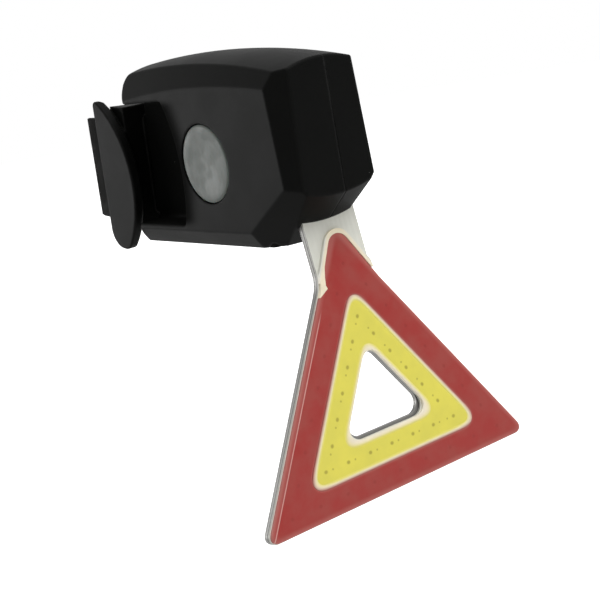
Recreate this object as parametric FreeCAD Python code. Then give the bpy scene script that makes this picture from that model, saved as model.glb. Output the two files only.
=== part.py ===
"""Bike tail light: a seat-post case with a hanging triangular light board.

The case is drawn in its own coordinates: x across the bike from the parting
line, y forward from the flat rear face, z up from the underside. to_row then
puts the origin on the seat post's axis, level with the middle of the pad.
"""
import FreeCAD, Part
import math
import os

V = FreeCAD.Vector
X_AXIS = V(1, 0, 0)
Y_AXIS = V(0, 1, 0)
Z_AXIS = V(0, 0, 1)
FAR = 200.0
TOUCHING = 1e-4
OVER = 1.0

# Case, outside
CASE_LENGTH = 51.5
CASE_HEIGHT = 33.9
LEFT_DEPTH = 10.6
RIGHT_DEPTH = 8.6
CROWN_SHARE = 0.6466
REAR_DROP = 3.0
CROWN_RADIUS = 25.0
CROWN_OVER = 10.0
SLOPE_RISE = 8.3
SLOPE_RUN = 10.0
SLOPE_RADIUS = 32.0
BEVEL_X = 2.4
BEVEL_FOOT = 3.1
BEVEL_TOP = 5.2
BEVEL_TOP_RISE = 4.8
BEVEL_TOP_BACK = 5.8
BEVEL_LOW = (2.45, 10.7)
BEVEL_HIGH = (3.5, 27.2)
BEVEL_RUN = 14.06
BEVEL_CORNER = 9.5
BEVEL_WALL = 1.0
EDGE_ROUND = 0.5
NOSE_ROUND = 2.5
SCOOP_RADIUS = 28.2
SCOOP_FLOOR_RADIUS = 23.0
SCOOP_FLOOR_X = 5.2
SCOOP_LOW = 4.0
SCOOP_UNDER = 7.1
SCOOP_ROUND = 3.0
SCOOP_AHEAD = 9.3
SCOOP_CENTRE_Z = 14.5

# Case, inside
WALL = 1.7
FIT_GAP = 0.1
BAY_REAR = 10.4
BAY_LENGTH = 20.6
BAY_CHAMFER = 1.6
BAY_FOOT = 2.2
BAY_TOP = 29.0
WIRE_BAY_REAR = 2.0
WIRE_BAY_FOOT = 17.0
WIRE_BAY_TOP = 28.4
WIRE_BAY_SIDE = 0.8
NOSE_BAY_HALF = 3.5
NOSE_BAY_FOOT = 5.0
NOSE_BAY_TOP = 26.0
NOSE_WALL = 2.0
SEAL_INSET = 0.6
SEAL_WIDTH = 0.6
SEAL_HALF = 0.4
SEAL_CLEAR = 0.9

# Case screws, driven from the right side: each is a distance forward and a height
SCREW_RADIUS = 1.0
SCREW_LENGTH = 7.0
SCREW_HEAD_RADIUS = 1.8
SCREW_HEAD = 1.3
SCREW_SEAT_X = 3.5
SCREW_SPOTS = ((5.6, 24.5), (38.5, 8.2), (38.5, 22.6))
SOCKET_RADIUS = 0.75
SOCKET_DEPTH = 0.8
BOSS_WALL = 1.1

# Light board, in its own plane: u across, v up from the triangle's virtual
# apex, w out of the lit face
BOARD_LEAN = 10.2
BOARD_Y = 5.5
BOARD_Z = 2.1
BOARD_HALF = 30.0
BOARD_DEPTH = 46.2
BOARD_CORNER = 1.3
MASK_THICK = 0.5
BOND_THICK = 0.1
PLATE_THICK = 0.8
STEM_HALF = 5.7
STEM_TOP = 12.0
STEM_BLEND = 6.5
STEM_CORNER = 1.0
SLOT_GAP = 0.12
NOTCH_RADIUS = 1.2
NOTCH_V = 8.4
STEM_SEAL_V = 4.4
STEM_SEAL_TALL = 1.6
STEM_SEAL_WALL = 0.9
PAD_ROOM = 1.3
PAD_ROOM_OVER = 5.1
STEM_OUT = 5.5
STEM_OVER = 3.4
RING_APEX = 10.3
RING_FOOT = 41.25
RING_CORNER = 2.4
RING_IN_APEX = 19.0
RING_IN_FOOT = 36.75
RING_IN_CORNER = 2.4
HOLE_APEX = 20.3
HOLE_FOOT = 35.75
HOLE_CORNER = 2.2
HOLE_LEDGE = 0.45
DAM_WIDTH = 0.9
DAM_HEIGHT = 0.62
GEL_HEIGHT = 0.52
GEL_ROUND = 0.3
GEL_EDGE = 0.15
TIP_APEX = 1.23
TIP_ROUND = 2.4
TIP_SHOULDER = (6.64, 10.5)
TIP_DAM_END = 8.6
TIP_DAM_WIDTH = 0.8
TIP_LUMP = (
    (4.2, 6.2), (4.7, 7.9), (4.95, 9.2), (4.75, 9.75), (5.9, 10.4), (6.7, 10.85),
    (6.9, 10.8), (6.1, 9.5), (5.7, 8.5), (5.3, 7.5), (4.6, 6.2),
)
CHIP_LONG = 1.1
CHIP_WIDE = 0.7
CHIP_SMALL = 0.6
CHIP_HEIGHT = 0.4
CHIP_PAIR = 1.45
YELLOW_COUNTS = (6, 5, 6, 1)
YELLOW_FIRST = ((-0.1, 15.8), (11.9, 34.7), (-15.0, 38.4), (14.4, 38.4))
YELLOW_LAST = ((-12.4, 34.8), (2.3, 19.5), (9.5, 38.4), (12.9, 38.4))
RED_COUNTS = (8, 7, 9)
RED_FIRST = ((0.2, 6.5), (20.9, 38.6), (-24.1, 43.3))
RED_LAST = ((-21.0, 38.6), (3.3, 11.1), (23.3, 43.3))
SOLDER_LONG = 2.0
SOLDER_WIDE = 1.5
SOLDER_HIGH = 0.12
SOLDER_PITCH = 3.4

# Power button, on the left side
BUTTON_Y = 24.4
BUTTON_Z = 15.3
BUTTON_RADIUS = 7.0
BUTTON_GAP = 0.15
BUTTON_TRAVEL = 0.5
BUTTON_FLANGE_RADIUS = 7.8
BUTTON_FLANGE = 0.8
BUTTON_DISH_RADIUS = 5.2
BUTTON_DISH = 0.35
BUTTON_EDGE = 0.35
BUTTON_POST_RADIUS = 1.9
BUTTON_SEAL_HEIGHT = 0.35
FLANGE_ROOM = 0.25
TOUCH_GAP = 0.05

# Circuit board and what stands on it
PCB_LEFT_X = -3.2
PCB_THICK = 1.0
PCB_MARGIN = 0.3
POST_PEG_RADIUS = 1.4
PCB_SCREW_RADIUS = 0.6
PCB_SCREW_LENGTH = 4.0
PCB_SCREW_HEAD_RADIUS = 1.1
PCB_SCREW_HEAD = 0.6
PEG_INSET = 1.8
SWITCH_SIDE = 6.0
SWITCH_HEIGHT = 2.6
SWITCH_WALL = 0.6
PLUNGER_RADIUS = 1.5
PLUNGER_GAP = 0.06
PLUNGER_PROUD = 0.7
DOME_RADIUS = 2.0
DOME_HEIGHT = 0.4
DOME_THICK = 0.12
STATUS_SIZE = (0.7, 1.6, 0.9)
STATUS_REACH = 4.8
CONTROLLER_SIZE = (0.9, 4.0, 4.0)
CHARGER_SIZE = (0.9, 2.6, 2.6)
COIL_SIZE = (1.3, 3.6, 3.6)
CAPACITOR_SIZE = (0.6, 1.2, 0.8)
CAPACITOR_PITCH = 1.8
CAPACITOR_ROW = 1.6
LOWER_CAPACITORS = 3
UPPER_CAPACITORS = 4
CHIP_INSET = 1.0
LOWER_ROW = 5.0
UPPER_ROW = 3.0
COIL_AHEAD = 6.0
USB_WIDE = 8.9
USB_HIGH = 3.2
USB_DEEP = 7.3
USB_SHELL = 0.3
USB_Y = 19.5
USB_ABOVE = 1.7
USB_TONGUE = 0.7
USB_TONGUE_DOWN = 1.0
USB_GAP = 0.15
USB_ROUND = 0.8

# Flap over the charging socket, on the underside
FLAP_LONG = 15.0
FLAP_WIDE = 5.4
FLAP_THICK = 0.9
FLAP_GAP = 0.2
FLAP_NUB = 1.0
FLAP_NUB_PLAY = 0.35
FLAP_NUB_ROUND = 0.45
FLAP_CORNER = 0.9
FLAP_KNUCKLE = 0.75
FLAP_PIN_RADIUS = 0.3
FLAP_PIN_GAP = 0.05
FLAP_PIN_BITE = 0.7
FLAP_NOTCH = 1.2
FLAP_NOTCH_DEEP = 0.5

# Cell, right of the circuit board
CELL_THICK = 5.2
CELL_LONG = 19.4
CELL_TALL = 22.4
CELL_ROUND = 1.6
CELL_GAP = 0.3
CELL_BOARD_THICK = 0.8
CELL_BOARD_INSET = 0.6
FOAM_THICK = 1.4
FOAM_MARGIN = 2.5
CELL_WIRE_RADIUS = 0.3
LAMP_WIRE_RADIUS = 0.3
WIRE_PITCH = 1.9
BEND_SHARE = 0.45
LAMP_WIRE_RISE = 2.6
LAMP_WIRE_LANE = 3.6
LAMP_WIRE_STAND = 1.8
LAMP_WIRE_IN = 1.2
CELL_WIRE_RISE = 1.2

# Seat-post bracket: n forward across the post, t up along it
POST_LEAN = 5.6
POST_RADIUS = 11.1
POST_AHEAD = 17.77
POST_Z = 15.58
PAD_THICK = 1.88
PAD_HEIGHT = 19.8
PAD_HALF = 10.3
PAD_ROUND = 0.6
PAD_NUB_RADIUS = 1.6
PAD_NUB_SPREAD = 6.0
PAD_NUB_DEEP = 1.1
EAR_OUT = 10.6
EAR_THICK = 2.4
EAR_RADIUS = 18.6
EAR_ARC_N = 0.15
EAR_ARC_T = -3.1
EAR_FOOT_T = -15.9
EAR_CORNER_TOP = 1.0
EAR_CORNER_FRONT = 3.8
EAR_CORNER_FOOT = 3.0
EAR_ROUND = 0.3
EAR_CONE = 0.8
BLOCK_WALL = 1.6
BLOCK_HALF_HEIGHT = 12.0
NECK_HALF = 3.9
NECK_HALF_HEIGHT = 10.0
NECK_CORNER = 1.2
TONGUE_HALF = 2.4
TONGUE_HALF_HEIGHT = 7.4
ANCHOR_HALF = 3.2
ANCHOR_HALF_HEIGHT = 8.6
ANCHOR_THICK = 1.6

# Worked out from the values above
CENTRE_X = (RIGHT_DEPTH - LEFT_DEPTH) / 2
NOSE_BACK = CASE_LENGTH - 2 * NOSE_ROUND
CROWN_Y = CASE_LENGTH * CROWN_SHARE
SCOOP_HIGH = CASE_HEIGHT - SCOOP_UNDER
HALF_WIDTH = (RIGHT_DEPTH + LEFT_DEPTH) / 2
SIDE_SLOPE = BOARD_HALF / BOARD_DEPTH
HALF_ANGLE = math.atan(SIDE_SLOPE)
BOARD_THICK = MASK_THICK + BOND_THICK + PLATE_THICK
PCB_RIGHT_X = PCB_LEFT_X + PCB_THICK
BAY_LEFT = -LEFT_DEPTH + WALL
BAY_RIGHT = RIGHT_DEPTH - WALL
CROWN_BEND = (CROWN_Y ** 2 + REAR_DROP ** 2) / (2 * REAR_DROP)
CROWN_SPAN = (-CROWN_OVER, CASE_LENGTH / 2, CASE_LENGTH + CROWN_OVER)
LEAN = math.radians(POST_LEAN)
POST_Y = CASE_LENGTH + POST_AHEAD
FRONT_N = (CASE_LENGTH - POST_Y) * math.cos(LEAN) + (CASE_HEIGHT / 2 - POST_Z) * math.sin(LEAN)
SADDLE_RADIUS = POST_RADIUS + PAD_THICK
BLOCK_REAR_N = -SADDLE_RADIUS - BLOCK_WALL
BAY_FRONT = BAY_REAR + BAY_LENGTH
PCB_FOOT = BAY_FOOT + PCB_MARGIN
PCB_TOP = BAY_TOP - BAY_CHAMFER
PCB_REAR = BAY_REAR + PCB_MARGIN
PCB_FRONT = BAY_FRONT - PCB_MARGIN
FLANGE_X = BAY_LEFT + BUTTON_SEAL_HEIGHT + TOUCH_GAP
SWITCH_TOP_X = PCB_LEFT_X - SWITCH_HEIGHT
PLUNGER_TOP_X = SWITCH_TOP_X - PLUNGER_PROUD
DOME_TOP_X = PCB_LEFT_X - SWITCH_WALL - DOME_HEIGHT
PLUNGER_END_X = DOME_TOP_X - BUTTON_TRAVEL - TOUCH_GAP
USB_X = PCB_LEFT_X - USB_HIGH / 2
FLAP_REAR = USB_Y - FLAP_LONG / 2
HINGE_Y = USB_Y + FLAP_LONG / 2 - FLAP_KNUCKLE
CELL_RIGHT = BAY_RIGHT - CELL_GAP
CELL_LEFT = CELL_RIGHT - CELL_THICK
CELL_REAR = BAY_REAR + (BAY_LENGTH - CELL_LONG) / 2
CELL_FOOT = BAY_FOOT + BAY_CHAMFER + FIT_GAP
CELL_TOP = CELL_FOOT + CELL_TALL


def to_row(shape):
    """Moves a shape from the case's coordinates to the part's own."""
    moved = shape.copy()
    moved.translate(V(0, -POST_Y, -POST_Z))
    return moved


def on_board(shape):
    """Moves a shape from the light board's plane (u, v, w) to the case."""
    turn = FreeCAD.Rotation(X_AXIS, 90 - BOARD_LEAN)
    moved = shape.copy()
    moved.Placement = FreeCAD.Placement(V(0, BOARD_Y, BOARD_Z), turn)
    return moved


def on_post(shape):
    """Moves a shape from the post's axes (x, n, t) to the case."""
    moved = shape.copy()
    moved.Placement = FreeCAD.Placement(V(0, POST_Y, POST_Z), FreeCAD.Rotation(X_AXIS, POST_LEAN))
    return moved


def box(low, high):
    size = [h - l for l, h in zip(low, high)]
    return Part.makeBox(*size, V(*low))


def rod(radius, start, end):
    along = V(*end) - V(*start)
    return Part.makeCylinder(radius, along.Length, V(*start), along)


def join(shapes):
    whole = shapes[0]
    if len(shapes) > 1:
        whole = whole.fuse(shapes[1:])
    return whole.removeSplitter()


def slab(points, direction):
    """A solid from a closed flat loop of points, pushed along a direction."""
    loop = Part.makePolygon([V(*p) for p in points] + [V(*points[0])])
    return Part.Face(loop).extrude(direction)


def turned(points, origin, axis):
    """A solid of revolution from a flat loop of points about an axis."""
    loop = Part.makePolygon([V(*p) for p in points] + [V(*points[0])])
    return Part.Face(loop).revolve(origin, axis, 360)


def straight_edges(shape, direction, keep):
    """The straight edges along a direction whose middle passes a test."""
    found = []
    for edge in shape.Edges:
        if not isinstance(edge.Curve, (Part.Line, Part.LineSegment)):
            continue
        ends = [v.Point for v in edge.Vertexes]
        along = (ends[1] - ends[0]).normalize()
        if abs(abs(along.dot(direction)) - 1) < TOUCHING and keep((ends[0] + ends[1]) / 2):
            found.append(edge)
    return found


def flat_edges(shape, axis, value):
    """The edges that lie flat in the plane where one coordinate has a value."""
    found = []
    for edge in shape.Edges:
        low = getattr(edge.BoundBox, axis + "Min")
        high = getattr(edge.BoundBox, axis + "Max")
        if abs(low - value) < TOUCHING and abs(high - value) < TOUCHING:
            found.append(edge)
    return found


def mirrored(shape, x=0.0):
    return shape.mirror(V(x, 0, 0), X_AXIS)


def crown_height(y):
    """Height of the crown line over a point y along the case."""
    drop = CROWN_BEND - math.sqrt(CROWN_BEND ** 2 - (y - CROWN_Y) ** 2)
    return CASE_HEIGHT - drop


def front_y(z):
    """The front face leans with the seat post."""
    return CASE_LENGTH - (z - CASE_HEIGHT / 2) * math.tan(LEAN)


def side_profile(inset):
    """The case's side outline, drawn in by an inset, as a face at x = 0."""
    crown_rear = V(0, inset, crown_height(inset) - inset)
    front_top_z = crown_height(CASE_LENGTH) - inset
    crown_front = V(0, front_y(front_top_z) - inset, front_top_z)
    mid_y = (crown_rear.y + crown_front.y) / 2
    crown_mid = V(0, mid_y, crown_height(mid_y) - inset)
    slope = math.atan2(SLOPE_RISE, SLOPE_RUN)
    rear_foot = V(0, inset, SLOPE_RISE + inset * (1 - math.sin(slope)) / math.cos(slope))
    slope_foot = V(0, SLOPE_RUN + inset * (1 - math.cos(slope)) / math.sin(slope), inset)
    front_foot = V(0, front_y(inset) - inset, inset)
    edges = [
        Part.makeLine(crown_rear, rear_foot),
        Part.makeLine(rear_foot, slope_foot),
        Part.makeLine(slope_foot, front_foot),
        Part.makeLine(front_foot, crown_front),
        Part.Arc(crown_front, crown_mid, crown_rear).toShape(),
    ]
    return Part.Face(Part.Wire(edges))


def plane_cut(a, b, c, away, inset=0.0):
    """Everything on the away side of the plane through three points, drawn in by an inset."""
    a, b, c = V(*a), V(*b), V(*c)
    normal = (b - a).cross(c - a).normalize()
    if normal.dot(V(*away)) < 0:
        normal = normal * -1
    face = Part.makePlane(FAR, FAR, a, normal)
    face.translate(a - face.CenterOfMass - normal * inset)
    return face.extrude(normal * FAR)


def slope_crown():
    """All that lies inside the slope's gentle crown across the case."""
    down = V(0, SLOPE_RUN, -SLOPE_RISE).normalize()
    inward = V(0, SLOPE_RISE, SLOPE_RUN).normalize()
    start = V(CENTRE_X, 0, SLOPE_RISE) - down * FAR + inward * SLOPE_RADIUS
    drum = Part.makeCylinder(SLOPE_RADIUS, 2 * FAR, start, down)
    corner = start - V(FAR, 0, 0)
    above = slab([
        corner, corner + down * 2 * FAR, corner + down * 2 * FAR + inward * FAR, corner + inward * FAR,
    ], V(2 * FAR, 0, 0))
    return drum.fuse(above).removeSplitter()


def slope_bevel(inset):
    """The cutter for the broad bevel on the left of the slope."""
    side_x = -LEFT_DEPTH
    return plane_cut(
        (side_x, *BEVEL_LOW), (side_x, BEVEL_RUN, BEVEL_FOOT), (side_x + BEVEL_X, 0, BEVEL_CORNER),
        (-1, -1, -1), inset)


def left_bevels():
    """The cutters that bevel the left side's rim, with the right side's mirrored."""
    side_x = -LEFT_DEPTH
    ridge_x = side_x + BEVEL_X
    middle = (BEVEL_LOW[1] + BEVEL_HIGH[1]) / 2
    rear = plane_cut(
        (side_x, *BEVEL_LOW), (side_x, *BEVEL_HIGH), (ridge_x, 0, middle), (-1, -1, 0))
    foot = plane_cut(
        (side_x, 0, BEVEL_FOOT), (side_x, CASE_LENGTH, BEVEL_FOOT),
        (ridge_x, 0, 0), (-1, 0, -1))
    rise = V(BEVEL_X, 0, BEVEL_TOP_RISE)
    line = [V(side_x, y - BEVEL_TOP_BACK, crown_height(y) - BEVEL_TOP) for y in CROWN_SPAN]
    roof = Part.Wire([
        Part.Arc(*line).toShape(),
        Part.makeLine(line[2], line[2] + V(0, 0, FAR)),
        Part.makeLine(line[2] + V(0, 0, FAR), line[0] + V(0, 0, FAR)),
        Part.makeLine(line[0] + V(0, 0, FAR), line[0]),
    ])
    roof.translate(rise * -1)
    top = Part.Face(roof).extrude(rise * 3)
    return [rear, slope_bevel(0), foot, top]


def left_scoop():
    """Finger room behind the ear: a dish about the ear's side, kept between two shelves."""
    out = -LEFT_DEPTH - OVER
    slope = (SCOOP_RADIUS - SCOOP_FLOOR_RADIUS) / (LEFT_DEPTH - SCOOP_FLOOR_X)
    wide = SCOOP_RADIUS + OVER * slope
    centre_y = CASE_LENGTH + SCOOP_AHEAD
    centre = V(0, centre_y, SCOOP_CENTRE_Z)
    rim = [(out, wide), (-LEFT_DEPTH, SCOOP_RADIUS), (-SCOOP_FLOOR_X, SCOOP_FLOOR_RADIUS)]
    loop = [(x, centre.y - r, centre.z) for x, r in rim]
    loop += [(-SCOOP_FLOOR_X, centre.y, centre.z), (out, centre.y, centre.z)]
    dish = turned(loop, centre, X_AXIS)
    dish = dish.common(box((-FAR, 0, SCOOP_LOW), (0, FAR, SCOOP_HIGH)))
    floor = [e for e in flat_edges(dish, "X", -SCOOP_FLOOR_X) if e.CenterOfMass.y < CASE_LENGTH]
    return dish.makeFillet(SCOOP_ROUND, floor)


def case_outer():
    """The case's outer form, with its crown, bevels and scoops."""
    over = CASE_HEIGHT + NOSE_ROUND
    body = slab([
        (-LEFT_DEPTH, 0, SLOPE_RISE), (-LEFT_DEPTH, SLOPE_RUN, 0), (-LEFT_DEPTH, front_y(0), 0),
        (-LEFT_DEPTH, front_y(over), over), (-LEFT_DEPTH, 0, over),
    ], V(2 * HALF_WIDTH, 0, 0))
    axis_z = CASE_HEIGHT - CROWN_RADIUS
    ends = [V(CENTRE_X, y, crown_height(y)) for y in CROWN_SPAN]
    spine = Part.Wire([
        Part.Arc(*ends).toShape(),
        Part.makeLine(ends[2], V(CENTRE_X, ends[2].y, axis_z)),
        Part.makeLine(V(CENTRE_X, ends[2].y, axis_z), V(CENTRE_X, ends[0].y, axis_z)),
        Part.makeLine(V(CENTRE_X, ends[0].y, axis_z), ends[0]),
    ])
    barrel = Part.Face(spine).revolve(V(CENTRE_X, 0, axis_z), Y_AXIS, 360)
    keep = barrel.fuse(box((-FAR, -FAR, -FAR), (FAR, FAR, axis_z)))
    body = body.common(keep)
    front = [e for e in body.Edges if e.CenterOfMass.y > CASE_LENGTH - NOSE_ROUND]
    foot = [e for e in front if e.CenterOfMass.z < NOSE_ROUND]
    ridge = [e for e in front if e.BoundBox.ZLength < NOSE_ROUND and e not in foot]
    corners = [e for e in front if e.BoundBox.ZLength > CASE_HEIGHT / 2]
    body = body.makeFillet(NOSE_ROUND, ridge + corners).common(slope_crown())
    for cutter in left_bevels():
        body = body.cut(cutter)
        body = body.cut(mirrored(cutter, CENTRE_X))
    scoop = left_scoop()
    body = body.cut(scoop).cut(mirrored(scoop))
    return body.removeSplitter()


def rounded_case():
    """The outer form with every crisp edge eased, but for the nose's own round."""
    body = case_outer()
    faces_on = {}
    for face in body.Faces:
        for edge in face.Edges:
            faces_on[edge.hashCode()] = faces_on.get(edge.hashCode(), 0) + 1
    nose_z = CASE_HEIGHT - 2 * NOSE_ROUND
    crisp = []
    for edge in body.Edges:
        middle = edge.CenterOfMass
        seam = faces_on[edge.hashCode()] < 2
        nose_arc = isinstance(edge.Curve, Part.Circle) and middle.z > nose_z
        cone_seam = abs(middle.z - SCOOP_CENTRE_Z) < FIT_GAP and edge.BoundBox.ZLength < FIT_GAP
        by_nose = middle.y > NOSE_BACK and middle.z > nose_z and edge.BoundBox.XLength > BEVEL_X
        if not (seam or nose_arc or cone_seam or by_nose):
            crisp.append(edge)
    return body.makeFillet(EDGE_ROUND, crisp)


def tube(points, radius):
    """A round tube along straight runs joined by tangent arcs."""
    points = [V(*p) for p in points]
    edges = []
    start = points[0]
    for before, corner, after in zip(points, points[1:], points[2:]):
        into = (corner - before).normalize()
        out = (after - corner).normalize()
        turn = into.getAngle(out)
        reach = BEND_SHARE * min((corner - before).Length, (after - corner).Length)
        bend = reach / math.tan(turn / 2)
        arc_start = corner - into * reach
        arc_end = corner + out * reach
        centre = corner + (out - into).normalize() * (bend / math.cos(turn / 2))
        middle = centre + (corner - centre).normalize() * bend
        edges.append(Part.makeLine(start, arc_start))
        edges.append(Part.Arc(arc_start, middle, arc_end).toShape())
        start = arc_end
    edges.append(Part.makeLine(start, points[-1]))
    path = Part.Wire(edges)
    ring = Part.Wire([Part.makeCircle(radius, points[0], points[1] - points[0])])
    solid = path.makePipeShell([ring], True, False)
    return Part.Solid(solid) if solid.ShapeType == "Shell" else solid


def triangle(apex, foot, corner, low, high):
    """A flat triangle like the board's, by how far down its virtual apex and its foot lie."""
    half = (foot - apex) * SIDE_SLOPE
    solid = slab([(0, -apex, low), (-half, -foot, low), (half, -foot, low)], V(0, 0, high - low))
    return solid.makeFillet(corner, straight_edges(solid, Z_AXIS, lambda m: True))


def widened(apex, foot, by):
    """Apex and foot of a triangle drawn outwards by a distance on all sides."""
    return apex - by / math.sin(HALF_ANGLE), foot + by


def hole_cut(ledge=0.0):
    """The hole's cutter; a ledge leaves a layer a little proud along the hole's foot."""
    return triangle(HOLE_APEX, HOLE_FOOT - ledge, HOLE_CORNER, -FAR / 4, FAR / 4)


def board_layer(low, high, ledge=0.0):
    """One full layer of the board: triangle, stem, notches and hole."""
    neck_v = -STEM_HALF / SIDE_SLOPE
    solid = slab([
        (-BOARD_HALF, -BOARD_DEPTH, low), (BOARD_HALF, -BOARD_DEPTH, low), (STEM_HALF, neck_v, low),
        (STEM_HALF, STEM_TOP, low), (-STEM_HALF, STEM_TOP, low), (-STEM_HALF, neck_v, low),
    ], V(0, 0, high - low))
    necks = straight_edges(solid, Z_AXIS, lambda m: abs(m.y - neck_v) < FIT_GAP)
    solid = solid.makeFillet(STEM_BLEND, necks)
    feet = straight_edges(solid, Z_AXIS, lambda m: m.y < -BOARD_DEPTH + FIT_GAP)
    solid = solid.makeFillet(BOARD_CORNER, feet)
    tops = straight_edges(solid, Z_AXIS, lambda m: m.y > STEM_TOP - FIT_GAP)
    solid = solid.makeFillet(STEM_CORNER, tops)
    solid = solid.cut(hole_cut(ledge))
    for side in (-STEM_HALF, STEM_HALF):
        solid = solid.cut(rod(NOTCH_RADIUS, (side, NOTCH_V, -FAR), (side, NOTCH_V, FAR)))
    return solid


def chips(counts, firsts, lasts):
    """Rows of light chips, each with a small protector beside it, towards its row's last place.

    A place is a distance across and a depth below the virtual apex.
    """
    solids = []
    for count, first, last in zip(counts, firsts, lasts):
        start = V(first[0], -first[1], 0)
        run = V(last[0], -last[1], 0) - start
        angle = math.degrees(math.atan2(run.y, run.x))
        for i in range(count):
            spot = start + run * (i / max(count - 1, 1))
            for shift, long in ((0, CHIP_LONG), (CHIP_PAIR, CHIP_SMALL)):
                low = (shift - long / 2, -CHIP_WIDE / 2, 0)
                chip = box(low, (shift + long / 2, CHIP_WIDE / 2, CHIP_HEIGHT))
                chip.rotate(V(0, 0, 0), Z_AXIS, angle)
                chip.translate(spot)
                solids.append(chip)
    return Part.makeCompound(solids)


def red_outline(low, high):
    """The red fill's outline: the triangle, with a slimmer tip that runs up the stem."""
    apex, foot = widened(0, BOARD_DEPTH, -GEL_EDGE)
    half = (foot - apex) * SIDE_SLOPE
    across, deep = TIP_SHOULDER
    solid = slab([
        (0, TIP_APEX, low), (across, -deep, low), (half, -foot, low),
        (-half, -foot, low), (-across, -deep, low),
    ], V(0, 0, high - low))
    solid = solid.makeFillet(BOARD_CORNER, straight_edges(solid, Z_AXIS, lambda m: m.y < -foot + OVER))
    return solid.makeFillet(TIP_ROUND, straight_edges(solid, Z_AXIS, lambda m: m.y > 0))


def tip_dam(height):
    """The cream line round the red tip on the stem, with the lump where it ends on the left."""
    across, deep = TIP_SHOULDER
    slope = across / (deep + TIP_APEX)
    out = TIP_DAM_WIDTH * math.sqrt(1 + slope ** 2) / slope
    foot = deep + OVER
    half = (foot + TIP_APEX + out) * slope
    line = slab([(0, TIP_APEX + out, 0), (half, -foot, 0), (-half, -foot, 0)], V(0, 0, height))
    line = line.makeFillet(TIP_ROUND + TIP_DAM_WIDTH, straight_edges(line, Z_AXIS, lambda m: m.y > 0))
    line = line.common(box((-FAR, -TIP_DAM_END, 0), (FAR, FAR, height))).cut(red_outline(0, height))
    lump = slab([(-u, -v, 0) for u, v in TIP_LUMP], V(0, 0, height))
    return join([line, lump]).common(board_layer(0, height))


def light_board():
    """The lit board's layers, chips, gel fills and dams, on the case."""
    mask = board_layer(-MASK_THICK, 0)
    bond = board_layer(-MASK_THICK - BOND_THICK, -MASK_THICK)
    plate = board_layer(-BOARD_THICK, -MASK_THICK - BOND_THICK, HOLE_LEDGE)
    ring = triangle(RING_APEX, RING_FOOT, RING_CORNER, 0, DAM_HEIGHT)
    ring_fill = (*widened(RING_APEX, RING_FOOT, -DAM_WIDTH), RING_CORNER - DAM_WIDTH)
    ring_in = (RING_IN_APEX, RING_IN_FOOT, RING_IN_CORNER)
    dam_out = ring.cut(triangle(*ring_fill, 0, DAM_HEIGHT))
    dam_in = triangle(*ring_in, 0, DAM_HEIGHT).cut(hole_cut())
    dam_tip = tip_dam(DAM_HEIGHT)
    red = red_outline(0, GEL_HEIGHT)
    red = red.makeFillet(GEL_ROUND, flat_edges(red, "Z", GEL_HEIGHT))
    red = red.cut([ring, dam_tip])
    yellow = triangle(*ring_fill, 0, GEL_HEIGHT).cut(triangle(*ring_in, 0, GEL_HEIGHT))
    yellow_chips = chips(YELLOW_COUNTS, YELLOW_FIRST, YELLOW_LAST)
    red_chips = chips(RED_COUNTS, RED_FIRST, RED_LAST)
    pads = []
    for i in (-1, 0, 1):
        high_v = STEM_TOP - SOLDER_LONG / 2
        low = (i * SOLDER_PITCH - SOLDER_WIDE / 2, high_v - SOLDER_LONG, 0)
        pads.append(box(low, (low[0] + SOLDER_WIDE, low[1] + SOLDER_LONG, SOLDER_HIGH)))
    pieces = {
        "lamp_circuit": mask,
        "lamp_bond": bond,
        "lamp_plate": plate,
        "outer_dam": dam_out,
        "inner_dam": dam_in,
        "tip_dam": dam_tip,
        "red_gel": red.cut(red_chips),
        "yellow_gel": yellow.cut(yellow_chips),
        "yellow_chips": yellow_chips,
        "red_chips": red_chips,
        "solder_pads": Part.makeCompound(pads),
    }
    return {name: on_board(solid) for name, solid in pieces.items()}


def stem_room(play):
    """The room that the stem and its notches take inside the case."""
    low = (-STEM_HALF - play, -STEM_OUT, -BOARD_THICK - play)
    room = box(low, (STEM_HALF + play, STEM_TOP + STEM_OVER, play))
    for side in (-STEM_HALF, STEM_HALF):
        key = rod(NOTCH_RADIUS - FIT_GAP, (side, NOTCH_V, -BOARD_THICK - play), (side, NOTCH_V, play))
        room = room.cut(key)
    wires = box((-STEM_HALF, NOTCH_V + NOTCH_RADIUS, 0), (STEM_HALF, STEM_TOP + PAD_ROOM_OVER, PAD_ROOM))
    return on_board(room.fuse(wires))


def stem_seal(play):
    """A rubber frame round the stem just inside the slot."""
    wall = STEM_SEAL_WALL + play
    low = (-STEM_HALF - wall, STEM_SEAL_V - play, -BOARD_THICK - wall)
    frame = box(low, (STEM_HALF + wall, STEM_SEAL_V + STEM_SEAL_TALL + play, wall))
    frame = frame.makeFillet(STEM_SEAL_WALL / 2, straight_edges(frame, Y_AXIS, lambda m: True))
    return frame


def anchor_shape(play):
    """The bracket's tongue through the front wall, and the plate behind it."""
    rear = FRONT_N - NOSE_WALL
    tongue = box(
        (-TONGUE_HALF - play, rear - play, -TONGUE_HALF_HEIGHT - play),
        (TONGUE_HALF + play, FRONT_N + play, TONGUE_HALF_HEIGHT + play))
    anchor = box(
        (-ANCHOR_HALF - play, rear - ANCHOR_THICK - play, -ANCHOR_HALF_HEIGHT - play),
        (ANCHOR_HALF + play, rear + play, ANCHOR_HALF_HEIGHT + play))
    return tongue.fuse(anchor)


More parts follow.
